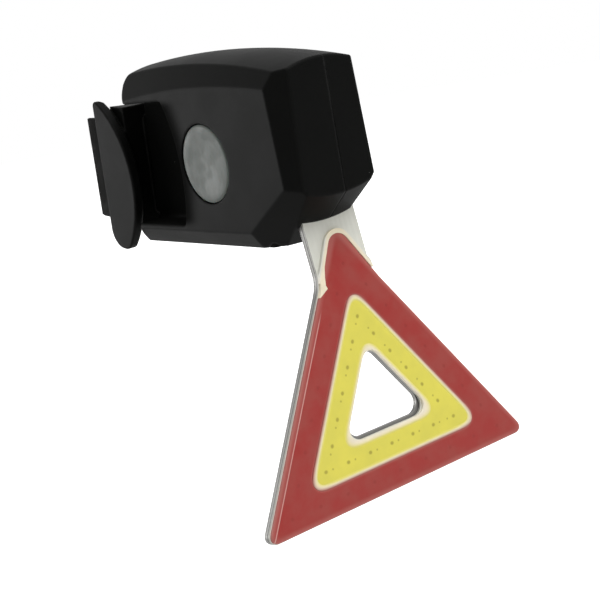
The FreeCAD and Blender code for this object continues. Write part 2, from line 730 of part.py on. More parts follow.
def bays():
    """The hollow inside the case, without what stands in it."""
    bay = box((BAY_LEFT, BAY_REAR, BAY_FOOT), (BAY_RIGHT, BAY_FRONT, BAY_TOP))
    bay = bay.makeChamfer(BAY_CHAMFER, straight_edges(bay, Y_AXIS, lambda m: True))
    inner = BAY_LEFT + WIRE_BAY_SIDE
    outer = BAY_RIGHT - WIRE_BAY_SIDE
    wire_bay = box((inner, WIRE_BAY_REAR, WIRE_BAY_FOOT), (outer, BAY_REAR + 1, WIRE_BAY_TOP))
    nose_front = front_y(NOSE_BAY_TOP) - NOSE_WALL - ANCHOR_THICK
    nose_bay = box(
        (-NOSE_BAY_HALF, BAY_FRONT - 1, NOSE_BAY_FOOT), (NOSE_BAY_HALF, nose_front, NOSE_BAY_TOP))
    corner = slope_bevel(BEVEL_WALL)
    return bay.cut([corner, mirrored(corner, CENTRE_X)]).fuse([wire_bay, nose_bay])


def screw_at(y, z):
    """A sunk-socket case screw, its head seated on the right side."""
    seat = SCREW_SEAT_X
    screw = rod(SCREW_RADIUS, (seat - SCREW_LENGTH, y, z), (seat, y, z))
    head = rod(SCREW_HEAD_RADIUS, (seat, y, z), (seat + SCREW_HEAD, y, z))
    socket = rod(SOCKET_RADIUS, (seat + SCREW_HEAD - SOCKET_DEPTH, y, z), (seat + SCREW_HEAD + 1, y, z))
    return screw.fuse(head).cut(socket)


def screw_room(y, z):
    """The bore and head recess that one case screw needs."""
    seat = SCREW_SEAT_X
    bore = rod(SCREW_RADIUS, (seat - SCREW_LENGTH - FIT_GAP, y, z), (seat, y, z))
    return bore.fuse(rod(SCREW_HEAD_RADIUS + 2 * FIT_GAP, (seat, y, z), (FAR, y, z)))


def seal_ring(play):
    """The cord that lies between the half shells, round the side outline."""
    half = SEAL_HALF + play / 2

    def plate(inset, reach):
        solid = side_profile(inset)
        solid.translate(V(-reach, 0, 0))
        solid = solid.extrude(V(2 * reach, 0, 0))
        nose = straight_edges(solid, X_AXIS, lambda m: m.y > NOSE_BACK and m.z > CASE_HEIGHT / 2)
        return solid.makeFillet(NOSE_ROUND - inset, nose)

    return plate(SEAL_INSET - play / 2, half).cut(plate(SEAL_INSET + SEAL_WIDTH + play / 2, half + 1))


def peg_spots():
    """Where the circuit board is screwed to its pegs."""
    return (
        (PCB_REAR + PEG_INSET, PCB_TOP - PEG_INSET),
        (PCB_FRONT - PEG_INSET, PCB_FOOT + PEG_INSET),
    )


def flap_parts():
    """The charging flap, its pin, and the room the two need in the underside."""
    half = FLAP_WIDE / 2
    flap = box((USB_X - half, FLAP_REAR, 0), (USB_X + half, HINGE_Y, FLAP_THICK))
    flap = flap.makeFillet(FLAP_CORNER, straight_edges(flap, Z_AXIS, lambda m: m.y < HINGE_Y - OVER))
    knuckle = rod(FLAP_KNUCKLE, (USB_X - half, HINGE_Y, FLAP_KNUCKLE), (USB_X + half, HINGE_Y, FLAP_KNUCKLE))
    mouth_wide = USB_WIDE - 2 * USB_SHELL - 2 * FLAP_NUB_PLAY
    mouth_high = USB_HIGH - 2 * USB_SHELL - 2 * FLAP_NUB_PLAY
    nub = box(
        (USB_X - mouth_high / 2, USB_Y - mouth_wide / 2, FLAP_THICK - FIT_GAP),
        (USB_X + mouth_high / 2, USB_Y + mouth_wide / 2, USB_ABOVE + FLAP_NUB / 2))
    nub = nub.makeFillet(mouth_high * FLAP_NUB_ROUND, straight_edges(nub, Z_AXIS, lambda m: True))
    bite = half + FLAP_PIN_BITE
    pin = rod(FLAP_PIN_RADIUS, (USB_X - bite, HINGE_Y, FLAP_KNUCKLE), (USB_X + bite, HINGE_Y, FLAP_KNUCKLE))
    bore = rod(
        FLAP_PIN_RADIUS + FLAP_PIN_GAP, (USB_X - half - 1, HINGE_Y, FLAP_KNUCKLE),
        (USB_X + half + 1, HINGE_Y, FLAP_KNUCKLE))
    flap = join([flap, knuckle, nub]).cut(bore)
    wide = half + FLAP_GAP
    room = box((USB_X - wide, FLAP_REAR - FLAP_GAP, -1), (USB_X + wide, HINGE_Y, FLAP_THICK + FLAP_GAP / 2))
    room = room.makeFillet(FLAP_CORNER, straight_edges(room, Z_AXIS, lambda m: m.y < HINGE_Y - OVER))
    reach = FLAP_KNUCKLE + FLAP_GAP
    turning = rod(reach, (USB_X - wide, HINGE_Y, FLAP_KNUCKLE), (USB_X + wide, HINGE_Y, FLAP_KNUCKLE))
    mouth = box((USB_X - wide, HINGE_Y, -1), (USB_X + wide, HINGE_Y + reach, FLAP_KNUCKLE))
    notch_z = FLAP_NOTCH_DEEP
    notch = box((USB_X - half / 2, FLAP_REAR - FLAP_NOTCH, -1), (USB_X + half / 2, FLAP_REAR, notch_z))
    room = room.fuse([turning, mouth, notch, pin])
    return flap, pin, room


def usb_socket():
    """The charging socket: a pressed shell, a back block and a contact tongue."""
    half_wide = USB_WIDE / 2
    half_high = USB_HIGH / 2
    top = USB_ABOVE + USB_DEEP
    shell = box(
        (USB_X - half_high, USB_Y - half_wide, USB_ABOVE),
        (USB_X + half_high, USB_Y + half_wide, top))
    shell = shell.makeFillet(half_high * USB_ROUND, straight_edges(shell, Z_AXIS, lambda m: True))
    inner_high = half_high - USB_SHELL
    inner_wide = half_wide - USB_SHELL
    inside = box(
        (USB_X - inner_high, USB_Y - inner_wide, USB_ABOVE - 1),
        (USB_X + inner_high, USB_Y + inner_wide, top - USB_SHELL * 2))
    inside = inside.makeFillet(inner_high * USB_ROUND, straight_edges(inside, Z_AXIS, lambda m: True))
    tongue_wide = inner_wide - USB_SHELL * 2
    tongue = box(
        (USB_X - USB_TONGUE / 2, USB_Y - tongue_wide, USB_ABOVE + USB_TONGUE_DOWN),
        (USB_X + USB_TONGUE / 2, USB_Y + tongue_wide, top - USB_SHELL * 2))
    hole = box(
        (USB_X - half_high - USB_GAP, USB_Y - half_wide - USB_GAP, 0),
        (USB_X + half_high + USB_GAP, USB_Y + half_wide + USB_GAP, top))
    hole = hole.makeFillet(half_high * USB_ROUND, straight_edges(hole, Z_AXIS, lambda m: True))
    return shell.cut(inside), tongue, hole


def button_parts():
    """The frosted cap with its flange and post, the seal under its rim, and their room."""
    side = -LEFT_DEPTH
    at = V(0, BUTTON_Y, BUTTON_Z)
    post_end = PLUNGER_TOP_X - TOUCH_GAP
    flange_in = FLANGE_X + BUTTON_FLANGE
    sag = BUTTON_DISH
    bend = (BUTTON_DISH_RADIUS ** 2 + sag ** 2) / (2 * sag)
    edge = BUTTON_EDGE
    profile = [
        V(side + sag, 0, 0), V(side, BUTTON_DISH_RADIUS, 0), V(side, BUTTON_RADIUS - edge, 0),
        V(side + edge, BUTTON_RADIUS, 0), V(FLANGE_X, BUTTON_RADIUS, 0),
        V(FLANGE_X, BUTTON_FLANGE_RADIUS, 0), V(flange_in, BUTTON_FLANGE_RADIUS, 0),
        V(flange_in, BUTTON_POST_RADIUS, 0), V(post_end, BUTTON_POST_RADIUS, 0), V(post_end, 0, 0),
    ]
    dish_mid_r = BUTTON_DISH_RADIUS / 2
    dish_mid = V(side + sag - (bend - math.sqrt(bend ** 2 - dish_mid_r ** 2)), dish_mid_r, 0)
    rim_mid = V(side + edge * (1 - math.sqrt(0.5)), BUTTON_RADIUS - edge * (1 - math.sqrt(0.5)), 0)
    edges = [
        Part.Arc(profile[0], dish_mid, profile[1]).toShape(),
        Part.makeLine(profile[1], profile[2]),
        Part.Arc(profile[2], rim_mid, profile[3]).toShape(),
    ]
    edges += [Part.makeLine(a, b) for a, b in zip(profile[3:], profile[4:] + profile[:1])]
    cap = Part.Face(Part.Wire(edges)).revolve(V(0, 0, 0), X_AXIS, 360)
    cap.translate(at)
    y, z = BUTTON_Y, BUTTON_Z
    hole = rod(BUTTON_RADIUS + BUTTON_GAP, (side - 1, y, z), (BAY_LEFT + 1, y, z))
    room_end = flange_in + BUTTON_TRAVEL + FLANGE_ROOM
    room = rod(BUTTON_FLANGE_RADIUS + FLANGE_ROOM, (BAY_LEFT, y, z), (room_end, y, z))
    seal = rod(BUTTON_FLANGE_RADIUS, (BAY_LEFT, y, z), (BAY_LEFT + BUTTON_SEAL_HEIGHT, y, z))
    seal = seal.cut(rod(BUTTON_RADIUS + BUTTON_GAP, (side, y, z), (0, y, z)))
    return cap, seal, hole.fuse(room)


def switch_parts():
    """The push switch on the circuit board: frame, plunger and snap dome."""
    half = SWITCH_SIDE / 2
    y, z = BUTTON_Y, BUTTON_Z
    frame = box((SWITCH_TOP_X, y - half, z - half), (PCB_LEFT_X, y + half, z + half))
    floor_x = PCB_LEFT_X - SWITCH_WALL
    lid_x = SWITCH_TOP_X + SWITCH_WALL
    frame = frame.cut(rod(half - SWITCH_WALL, (lid_x, y, z), (floor_x, y, z)))
    bore = rod(PLUNGER_RADIUS + PLUNGER_GAP, (SWITCH_TOP_X - OVER, y, z), (lid_x + FIT_GAP, y, z))
    frame = frame.cut(bore)
    plunger = rod(PLUNGER_RADIUS, (PLUNGER_TOP_X, y, z), (PLUNGER_END_X, y, z))
    bend = (DOME_RADIUS ** 2 + DOME_HEIGHT ** 2) / (2 * DOME_HEIGHT)
    ball = Part.makeSphere(bend, V(DOME_TOP_X + bend, y, z))
    hollow = Part.makeSphere(bend, V(DOME_TOP_X + bend + DOME_THICK, y, z))
    dome = ball.cut(hollow).common(box((-FAR, 0, 0), (floor_x, FAR, FAR)))
    return frame, plunger, dome


def on_pcb(size, y, z, left=True):
    """A block standing on the left or the right face of the circuit board."""
    tall, along, up = size
    low_x = PCB_LEFT_X - tall if left else PCB_RIGHT_X
    return box((low_x, y - along / 2, z - up / 2), (low_x + tall, y + along / 2, z + up / 2))


def electronics():
    """The circuit board, what is soldered to it, and the cell with its own board and foam."""
    pcb = box((PCB_LEFT_X, PCB_REAR, PCB_FOOT), (PCB_RIGHT_X, PCB_FRONT, PCB_TOP))
    screws = []
    for y, z in peg_spots():
        seat = PCB_RIGHT_X
        head = rod(PCB_SCREW_HEAD_RADIUS, (seat, y, z), (seat + PCB_SCREW_HEAD, y, z))
        screws.append(head.fuse(rod(PCB_SCREW_RADIUS, (seat - PCB_SCREW_LENGTH, y, z), (seat, y, z))))
        pcb = pcb.cut(rod(PCB_SCREW_RADIUS + FIT_GAP / 2, (-FAR, y, z), (FAR, y, z)))
    status = [on_pcb(STATUS_SIZE, BUTTON_Y, BUTTON_Z + s * STATUS_REACH) for s in (-1, 1)]
    mid_z = (PCB_FOOT + PCB_TOP) / 2
    chip_y = PCB_REAR + CHIP_INSET + CONTROLLER_SIZE[1] / 2
    upper_z = PCB_TOP - UPPER_ROW
    small = []
    for i in range(LOWER_CAPACITORS):
        small.append(on_pcb(CAPACITOR_SIZE, PCB_REAR + CHIP_INSET + i * CAPACITOR_PITCH, mid_z - LOWER_ROW))
    for i in range(UPPER_CAPACITORS):
        y = PCB_FRONT - 2 * CHIP_INSET - i * CAPACITOR_PITCH
        small.append(on_pcb(CAPACITOR_SIZE, y, PCB_TOP - CAPACITOR_ROW))
    cell = box((CELL_LEFT, CELL_REAR, CELL_FOOT), (CELL_RIGHT, CELL_REAR + CELL_LONG, CELL_TOP))
    cell = cell.makeFillet(CELL_ROUND, straight_edges(cell, Z_AXIS, lambda m: True))
    cell_board = box(
        (CELL_LEFT + CELL_BOARD_INSET, CELL_REAR + CELL_ROUND, CELL_TOP),
        (CELL_RIGHT - CELL_BOARD_INSET, CELL_REAR + CELL_LONG - CELL_ROUND, CELL_TOP + CELL_BOARD_THICK))
    foam = box(
        (CELL_LEFT - FOAM_THICK, CELL_REAR + FOAM_MARGIN, CELL_FOOT + FOAM_MARGIN),
        (CELL_LEFT, CELL_REAR + CELL_LONG - FOAM_MARGIN, CELL_TOP - 2 * FOAM_MARGIN))
    pieces = {
        "circuit_board": pcb,
        "board_screws": Part.makeCompound(screws),
        "status_lamps": Part.makeCompound(status),
        "controller_chip": on_pcb(CONTROLLER_SIZE, chip_y, mid_z),
        "charger_chip": on_pcb(CHARGER_SIZE, USB_Y, upper_z, left=False),
        "driver_coil": on_pcb(COIL_SIZE, USB_Y + COIL_AHEAD, upper_z, left=False),
        "small_parts": Part.makeCompound(small),
        "cell": cell,
        "cell_board": cell_board,
        "cell_foam": foam,
    }
    return pieces


def wires():
    """Short leads: three from the stem's pads and two from the cell, to the circuit board."""
    lift = SOLDER_HIGH + LAMP_WIRE_RADIUS
    end_y = PCB_REAR + LAMP_WIRE_IN
    leads = []
    for i in (-1, 0, 1):
        x = i * SOLDER_PITCH
        start = on_board(Part.Vertex(x, STEM_TOP - SOLDER_LONG, lift)).Point
        rise = on_board(Part.Vertex(x, STEM_TOP + LAMP_WIRE_RISE, lift)).Point
        lane_z = WIRE_BAY_FOOT + LAMP_WIRE_LANE - i * WIRE_PITCH
        stand_x = PCB_RIGHT_X + LAMP_WIRE_STAND
        over = (stand_x + (x - stand_x) / 2, BAY_REAR - LAMP_WIRE_RISE / 2, lane_z - LAMP_WIRE_STAND)
        points = [tuple(start), tuple(rise), over, (stand_x, end_y, lane_z), (PCB_RIGHT_X, end_y, lane_z)]
        leads.append(tube(points, LAMP_WIRE_RADIUS))
    cell_leads = []
    for i in (0, 1):
        top = CELL_TOP + CELL_BOARD_THICK
        y = CELL_REAR + 2 * CELL_ROUND + (i + 1) * WIRE_PITCH
        x = CELL_LEFT + CELL_BOARD_INSET + CELL_WIRE_RISE
        low = PCB_TOP - CELL_WIRE_RISE
        stand_x = PCB_RIGHT_X + CELL_WIRE_RISE
        bow = (stand_x + CELL_WIRE_RISE, y, top + CELL_WIRE_RISE / 2)
        points = [(x, y, top), (x, y, top + CELL_WIRE_RISE), bow, (stand_x, y, low), (PCB_RIGHT_X, y, low)]
        cell_leads.append(tube(points, CELL_WIRE_RADIUS))
    return Part.makeCompound(leads), Part.makeCompound(cell_leads)


def bracket_parts():
    """The seat-post bracket with its two ears, and the rubber pad in its saddle."""
    half_high = BLOCK_HALF_HEIGHT
    block = box((-EAR_OUT, BLOCK_REAR_N, -half_high), (EAR_OUT, 0, half_high))
    ear = rod(EAR_RADIUS, (-EAR_OUT, EAR_ARC_N, EAR_ARC_T), (-EAR_OUT + EAR_THICK, EAR_ARC_N, EAR_ARC_T))
    front_n = -math.sqrt(SADDLE_RADIUS ** 2 - EAR_OUT ** 2)
    ear = ear.common(box((-FAR, -FAR, EAR_FOOT_T), (FAR, front_n, FAR)))
    corners = (
        (EAR_CORNER_TOP, lambda m: m.y > front_n - FIT_GAP and m.z > 0),
        (EAR_CORNER_FRONT, lambda m: m.y > front_n - FIT_GAP and m.z < 0),
        (EAR_CORNER_FOOT, lambda m: m.y < front_n - FIT_GAP and m.z < 0),
    )
    for radius, test in corners:
        ear = ear.makeFillet(radius, straight_edges(ear, X_AXIS, test))
    inner_x = -EAR_OUT + EAR_THICK
    inner_rim = [e for e in flat_edges(ear, "X", inner_x) if isinstance(e.Curve, Part.Circle)]
    ear = ear.makeChamfer(EAR_CONE, [e for e in inner_rim if abs(e.Curve.Radius - EAR_RADIUS) < FIT_GAP])
    ear = ear.makeFillet(EAR_ROUND, flat_edges(ear, "X", -EAR_OUT))
    neck = box((-NECK_HALF, FRONT_N, -NECK_HALF_HEIGHT), (NECK_HALF, BLOCK_REAR_N + 1, NECK_HALF_HEIGHT))
    neck = neck.makeFillet(NECK_CORNER, straight_edges(neck, Y_AXIS, lambda m: True))
    inside = EAR_OUT - EAR_THICK
    block = block.common(box((-inside, -FAR, -FAR), (inside, FAR, FAR)))
    body = join([block, ear, mirrored(ear), neck, anchor_shape(0)])
    body = body.cut(rod(SADDLE_RADIUS, (0, 0, -FAR), (0, 0, FAR)))
    pad = rod(SADDLE_RADIUS, (0, 0, -PAD_HEIGHT / 2), (0, 0, PAD_HEIGHT / 2))
    pad = pad.cut(rod(POST_RADIUS, (0, 0, -FAR), (0, 0, FAR)))
    pad = pad.common(box((-PAD_HALF, -FAR, -FAR), (PAD_HALF, 0, FAR)))
    pad = pad.makeFillet(PAD_ROUND, straight_edges(pad, Y_AXIS, lambda m: True))
    nubs = []
    for t in (-PAD_NUB_SPREAD, PAD_NUB_SPREAD):
        deep = (0, -SADDLE_RADIUS - PAD_NUB_DEEP, t)
        nubs.append(rod(PAD_NUB_RADIUS, deep, (0, -POST_RADIUS - PAD_THICK / 2, t)))
        body = body.cut(rod(PAD_NUB_RADIUS, deep, (0, 0, t)))
    pad = join([pad] + nubs)
    return on_post(body), on_post(pad)


def build():
    """Every piece of the light, by node name, in the case's coordinates."""
    pieces = light_board()
    outer = rounded_case()
    cap, button_seal, button_room = button_parts()
    frame, plunger, dome = switch_parts()
    flap, flap_pin, flap_room = flap_parts()
    shell, tongue, usb_hole = usb_socket()
    case = outer.cut(bays())
    left_bosses = []
    right_bosses = []
    for y, z in SCREW_SPOTS:
        left_bosses.append(rod(SCREW_RADIUS + BOSS_WALL, (OVER - LEFT_DEPTH, y, z), (0, y, z)))
        right_bosses.append(rod(SCREW_HEAD_RADIUS + BOSS_WALL, (0, y, z), (RIGHT_DEPTH - OVER, y, z)))
    for y, z in peg_spots():
        left_bosses.append(rod(POST_PEG_RADIUS, (OVER - LEFT_DEPTH, y, z), (PCB_LEFT_X, y, z)))
    anchor_room = on_post(anchor_shape(FIT_GAP / 2))
    room = [stem_room(SLOT_GAP), on_board(stem_seal(0)), anchor_room, flap_room, usb_hole]
    room += [screw_room(y, z) for y, z in SCREW_SPOTS]
    ring = seal_ring(0)
    ring = ring.cut([stem_room(SEAL_CLEAR), on_board(stem_seal(FIT_GAP)), flap_room])
    ring = ring.cut(on_post(anchor_shape(SEAL_CLEAR)))
    half = box((-FAR, -FAR, -FAR), (0, FAR, FAR))
    left = case.common(half)
    left = left.fuse([boss.common(outer) for boss in left_bosses])
    peg_bores = []
    for y, z in peg_spots():
        peg_bores.append(rod(PCB_SCREW_RADIUS, (PCB_RIGHT_X - PCB_SCREW_LENGTH, y, z), (0, y, z)))
    left = left.cut(room + [button_room, ring] + peg_bores)
    right = case.cut(half)
    right = right.fuse([boss.common(outer) for boss in right_bosses]).cut(room + [ring])
    bracket, pad = bracket_parts()
    lamp_wires, cell_wires = wires()
    stem = on_board(box((-STEM_HALF, -STEM_OUT, -BOARD_THICK), (STEM_HALF, STEM_TOP, 0)))
    pieces.update(electronics())
    pieces.update({
        "left_shell": left,
        "right_shell": right,
        "case_seal": ring,
        "case_screws": Part.makeCompound([screw_at(y, z) for y, z in SCREW_SPOTS]),
        "stem_seal": on_board(stem_seal(0)).cut(stem),
        "button_cap": cap,
        "button_seal": button_seal,
        "switch_frame": frame,
        "switch_plunger": plunger,
        "switch_dome": dome,
        "charging_socket": shell,
        "socket_tongue": tongue,
        "charging_flap": flap,
        "flap_pin": flap_pin,
        "lamp_wires": lamp_wires,
        "cell_wires": cell_wires,
        "post_bracket": bracket,
        "post_pad": pad,
    })
    return pieces


def main():
    os.makedirs("parts", exist_ok=True)
    for name, shape in build().items():
        solid = to_row(shape)
        print(name, "solids", len(solid.Solids), "valid", solid.isValid(), "volume", round(solid.Volume, 2))
        solid.exportStep("parts/" + name + ".step")


if __name__ == "__main__":
    main()
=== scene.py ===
"""Bike tail light: the looks of a seat-post case and its hanging light board."""
import math

import bmesh
import bpy
from mathutils import Matrix, Vector


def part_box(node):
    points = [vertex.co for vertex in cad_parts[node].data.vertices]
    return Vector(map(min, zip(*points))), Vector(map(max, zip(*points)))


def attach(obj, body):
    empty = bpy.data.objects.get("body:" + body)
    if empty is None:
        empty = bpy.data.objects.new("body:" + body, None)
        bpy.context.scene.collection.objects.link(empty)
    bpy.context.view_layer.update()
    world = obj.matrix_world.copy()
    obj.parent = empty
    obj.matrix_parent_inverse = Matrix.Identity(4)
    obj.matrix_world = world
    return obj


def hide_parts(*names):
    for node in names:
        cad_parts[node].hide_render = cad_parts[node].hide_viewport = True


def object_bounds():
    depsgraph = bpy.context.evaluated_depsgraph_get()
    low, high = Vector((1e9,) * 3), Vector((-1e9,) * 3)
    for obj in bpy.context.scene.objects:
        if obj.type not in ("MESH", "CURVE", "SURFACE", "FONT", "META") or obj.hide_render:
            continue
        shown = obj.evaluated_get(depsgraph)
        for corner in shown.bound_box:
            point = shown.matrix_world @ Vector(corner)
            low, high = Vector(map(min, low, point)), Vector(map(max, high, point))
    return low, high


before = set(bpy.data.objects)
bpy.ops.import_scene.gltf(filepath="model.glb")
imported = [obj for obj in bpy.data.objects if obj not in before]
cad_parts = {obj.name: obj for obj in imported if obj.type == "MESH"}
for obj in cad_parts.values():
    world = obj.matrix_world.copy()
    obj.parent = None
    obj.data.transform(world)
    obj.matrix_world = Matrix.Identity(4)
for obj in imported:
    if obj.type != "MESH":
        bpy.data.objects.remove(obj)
CAD_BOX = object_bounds()

bl_info = {
    "name": "Bike tail light",
    "version": (1, 0, 0),
    "blender": (4, 5, 0),
    "location": "3D View > Sidebar > Tail light",
    "description": "Dresses the tail light's frame with its fills, lines, button, pad, screws and finishes",
    "category": "Object",
}

MM = 0.001

# Where the case's own coordinates begin, in millimetres from the part's origin
CASE_ORIGIN = Vector((0, -69.27, -15.58))

# Light board, in its own plane: u across, v up from the virtual apex, w out of the lit face. A ring is
# how far down its virtual apex and its foot lie, and the radius of its corners.
BOARD_LEAN = math.radians(10.2)
BOARD_AT = Vector((0, 5.5, 2.1))
BOARD_HALF = 30.0
BOARD_DEPTH = 46.2
BOARD_CORNER = 1.3
MASK_THICK = 0.5
BOND_THICK = 0.1
PLATE_THICK = 0.8
CIRCUIT_BACK = -MASK_THICK
PLATE_BACK = CIRCUIT_BACK - BOND_THICK - PLATE_THICK
GEL_EDGE = 0.15
TIP_APEX = 1.23
TIP_ROUND = 2.4
TIP_SHOULDER = (6.64, 10.5)
RING = (10.3, 41.25, 2.4)
RING_IN = (19.0, 36.75, 2.4)
HOLE = (20.3, 35.75, 2.2)
DAM_WIDTH = 0.9
SIDE_SLOPE = BOARD_HALF / BOARD_DEPTH
HALF_ANGLE = math.atan(SIDE_SLOPE)

# Button, on the left side: its axis is along x, and depths count inwards from its rim. The dish is
# a list of shares of its depth with their radii, and the rim one of depths with their radii.
BUTTON_AT = Vector((0, 24.4, 15.3))
BUTTON_RADIUS = 7.0
BUTTON_DISH = ((1.0, 0.0), (0.93, 1.6), (0.62, 3.4), (0.22, 4.6))
BUTTON_RIM = ((0.03, 5.25), (0.0, 5.6), (0.0, 6.4), (0.05, 6.72), (0.16, 6.9), (0.36, BUTTON_RADIUS))
FLANGE_TOP = 2.16
FLANGE_BACK = 2.9
FLANGE_RADIUS = 7.8
FLANGE_FILLET = 0.06
PLUNGER_RADIUS = 1.9
PLUNGER_CHAMFER = 0.15

# Finger rooms: their centre, and the reaches over which their painted shade, a lower specular level with a
# rougher finish, fades in
SCOOP_AT = Vector((0, 60.8, 14.5))
SCOOP_EDGE = (33.5, 27.0)
SCOOP_FOOT = (3.4, 5.4)
SCOOP_TOP = (27.4, 25.6)

# Parting line of the case: its half width, how dark it is, and where below the roof it comes out in full
SEAM_HALF = (0.14, 0.04)
SEAM_SHARE = 0.9
SEAM_DEEP = 0.12
SEAM_UNDER = (24.0, 20.0)
SEAM_ON_ROOF = 0.1

# Seat post and the pad in its saddle, up along the post. A rib's flank goes from the groove over a
# shoulder to the crest, at shares of the ribs' pitch.
POST_LEAN = math.radians(5.6)
POST_RADIUS = 11.1
PAD_BACK = 12.98
PAD_HEIGHT = 19.8
PAD_HALF = 10.3
RIB_HALF = 9.0
RIB_ROUND = 0.05
RIB_FLANK = (0.12, 0.24, 0.36)
PAD_LAND = 0.03
PAD_ENTRY = 0.1
PAD_EDGE = 0.3
PAD_EDGE_MIDDLE = 0.08
PAD_OVERRUN = 0.12

# Case screws: y and z of each, where along x it has its tip, its seat and its top, and the crown of
# its head, as drops under the top with their insets from the head's side
SCREW_SPOTS = ((5.6, 24.5), (38.5, 8.2), (38.5, 22.6))
SCREW_TIP = -3.5
SCREW_SEAT = 3.5
SCREW_TOP = 4.8
SCREW_RADIUS = 1.0
SCREW_POINT = 0.25
SCREW_HEAD_RADIUS = 1.8
SCREW_RIM = 0.95
SCREW_CROWN = ((0.18, 0.0), (0.05, 0.05), (0.0, 0.2))
SOCKET_CHAMFER = 0.06
SOCKET_DEEP = 0.75

# The floor lies well under the light, which the photograph shows hanging in white. Its glow grows
# from the middle outwards, over reaches in metres.
FLOOR_DROP = 60.0
FLOOR_RADIUS = 1.6
FLOOR_REACH = (0.15, 0.7)
FLOOR_GLOW = (0.55, 1.0)
WORLD_LEVEL = 0.24

# Lamps: name, the way to it from the object, how far, how wide, and its power
LAMPS = (
    ("front_soft", (0.12, -0.6, 0.85), 0.9, 0.8, 7.2),
    ("side_soft", (-0.6, 0.75, -0.05), 0.9, 0.5, 4.5),
    ("top_soft", (0.1, 0.2, 1.0), 0.9, 0.7, 2.5),
    ("back_soft", (0.95, 0.2, 0.1), 0.9, 0.6, 1.5),
)

# Camera, solved from the photograph
CAMERA_AT = Vector((-133.65, -169.09, 39.07))
CAMERA_RIGHT = Vector((0.7796, -0.6025, -0.1713))
CAMERA_DOWN = Vector((-0.2662, -0.0711, -0.9613))
CAMERA_AHEAD = Vector((0.5669, 0.795, -0.2158))
CAMERA_LENS = 78.72
SENSOR = 36.0

BOARD_TURN = math.pi / 2 - BOARD_LEAN
BOARD_START = (CASE_ORIGIN + BOARD_AT) * MM
BUTTON_START = (CASE_ORIGIN + BUTTON_AT) * MM
ON_BOARD = Matrix.Translation(BOARD_START) @ Matrix.Rotation(BOARD_TURN, 4, "X") @ Matrix.Scale(MM, 4)
ON_POST = Matrix.Rotation(POST_LEAN, 4, "X") @ Matrix.Scale(MM, 4)
ON_CASE = Matrix.Translation(CASE_ORIGIN * MM) @ Matrix.Scale(MM, 4)

# Specular levels of the case, and the lower one that paints shade into its finger rooms
CASE_SHINE = 0.04
SCOOP_SHADE_SHINE = 0.008

# Colours within the finishes, with their alpha
EDGE_RUBBED = (0.018, 0.018, 0.0175, 1)
SEAM_DARK = (0.001, 0.001, 0.001, 1)
CASE_DUST = (0.35, 0.35, 0.34, 1)
RUBBER_DUST = (0.12, 0.12, 0.115, 1)
BUTTON_CLOUD = (0.16, 0.175, 0.16, 1)
TRACK_TINT = (0.5, 0.5, 0.42, 1)
LAYER_LINE = (0.04, 0.04, 0.035, 1)
# Punched edges of the plate: partly the metal's own colour, partly painted shade that keeps them darker
# than the faces
SHADED_CUT_DARK = (0.17, 0.168, 0.16, 1)
SHADED_CUT_PALE = (0.28, 0.277, 0.265, 1)
SHADED_CUT_TORN = (0.08, 0.079, 0.076, 1)
BRUSHED_DARK = (0.44, 0.435, 0.42, 1)
BRUSHED_PALE = (0.6, 0.59, 0.57, 1)
# Painted highlight: the thin pale line inside the red fill's left side
GLINT = (0.72, 0.44, 0.4, 1)
BOARD_GREEN = (0.012, 0.11, 0.045, 1)
TRACK_GREEN = (0.03, 0.2, 0.09, 1)
PAD_GOLD = (0.6, 0.42, 0.12, 1)
FOIL_DARK = (0.5, 0.5, 0.5, 1)
FOIL_PALE = (0.68, 0.68, 0.67, 1)


# Sizes and colours that a user may change

def length(name, text, default):
    """A length in millimetres, as a property."""
    return bpy.props.FloatProperty(name=name, description=text, default=default, min=0.0)


def colour(name, text, default):
    return bpy.props.FloatVectorProperty(
        name=name, description=text, default=default, subtype="COLOR", size=3, min=0.0, max=1.0)


class TailLightSizes(bpy.types.PropertyGroup):
    """Small forms that the looks add to the frame, in millimetres."""
    gel_rise: length("Gel height", "Height of the gel fills over the circuit", 0.56)
    dam_rise: length("Dam height", "Height of the cream lines over the circuit", 0.59)
    dot_radius: length("Dot radius", "Radius of a chip as it shows through the gel", 0.34)
    button_dish: length("Button dish", "Depth of the dish in the button", 0.35)
    rib_pitch: length("Pad rib pitch", "Distance between the ribs of the rubber pad", 1.98)
    rib_depth: length("Pad rib depth", "Depth of the grooves between the pad's ribs", 0.3)
    socket_flats: length("Screw socket", "Width across the flats of the case screws' sockets", 1.3)


class TailLightColours(bpy.types.PropertyGroup):
    """Base colours of the finishes."""
    case: colour("Case", "Moulded case and bracket", (0.0018, 0.0019, 0.0017))
    rubber: colour("Rubber", "Pad, seals and flap", (0.0045, 0.0045, 0.0043))
    button: colour("Button", "Frosted button cap", (0.052, 0.063, 0.054))
    mask: colour("Circuit", "White mask of the light board", (0.71, 0.71, 0.64))
    core: colour("Circuit edge", "Cut edge of the light board", (0.34, 0.335, 0.295))
    dam: colour("Dam", "Cream lines round the fills", (0.86, 0.77, 0.58))
    red: colour("Red gel", "Red fill", (0.315, 0.03, 0.025))
    red_cloud: colour("Red gel, cloudy", "Red fill where it is cloudy", (0.31, 0.052, 0.043))
    red_edge: colour("Red gel edge", "Red fill where it is thin", (0.42, 0.14, 0.12))
    yellow: colour("Yellow gel", "Yellow fill", (0.73, 0.66, 0.1))
    yellow_cloud: colour("Yellow gel, cloudy", "Yellow fill where it is cloudy", (0.68, 0.62, 0.1))
    yellow_edge: colour("Yellow gel edge", "Yellow fill where it is thin", (0.82, 0.76, 0.34))
    dot: colour("Chip in yellow", "A chip that shows through the yellow", (0.36, 0.31, 0.045))
    red_dot: colour("Chip in red", "A chip that shows through the red", (0.2, 0.024, 0.02))


# Nodes

def give(tree, socket, value):
    """Links a socket to another one, or sets its own value."""
    if isinstance(value, bpy.types.NodeSocket):
        tree.links.new(value, socket)
    else:
        socket.default_value = value


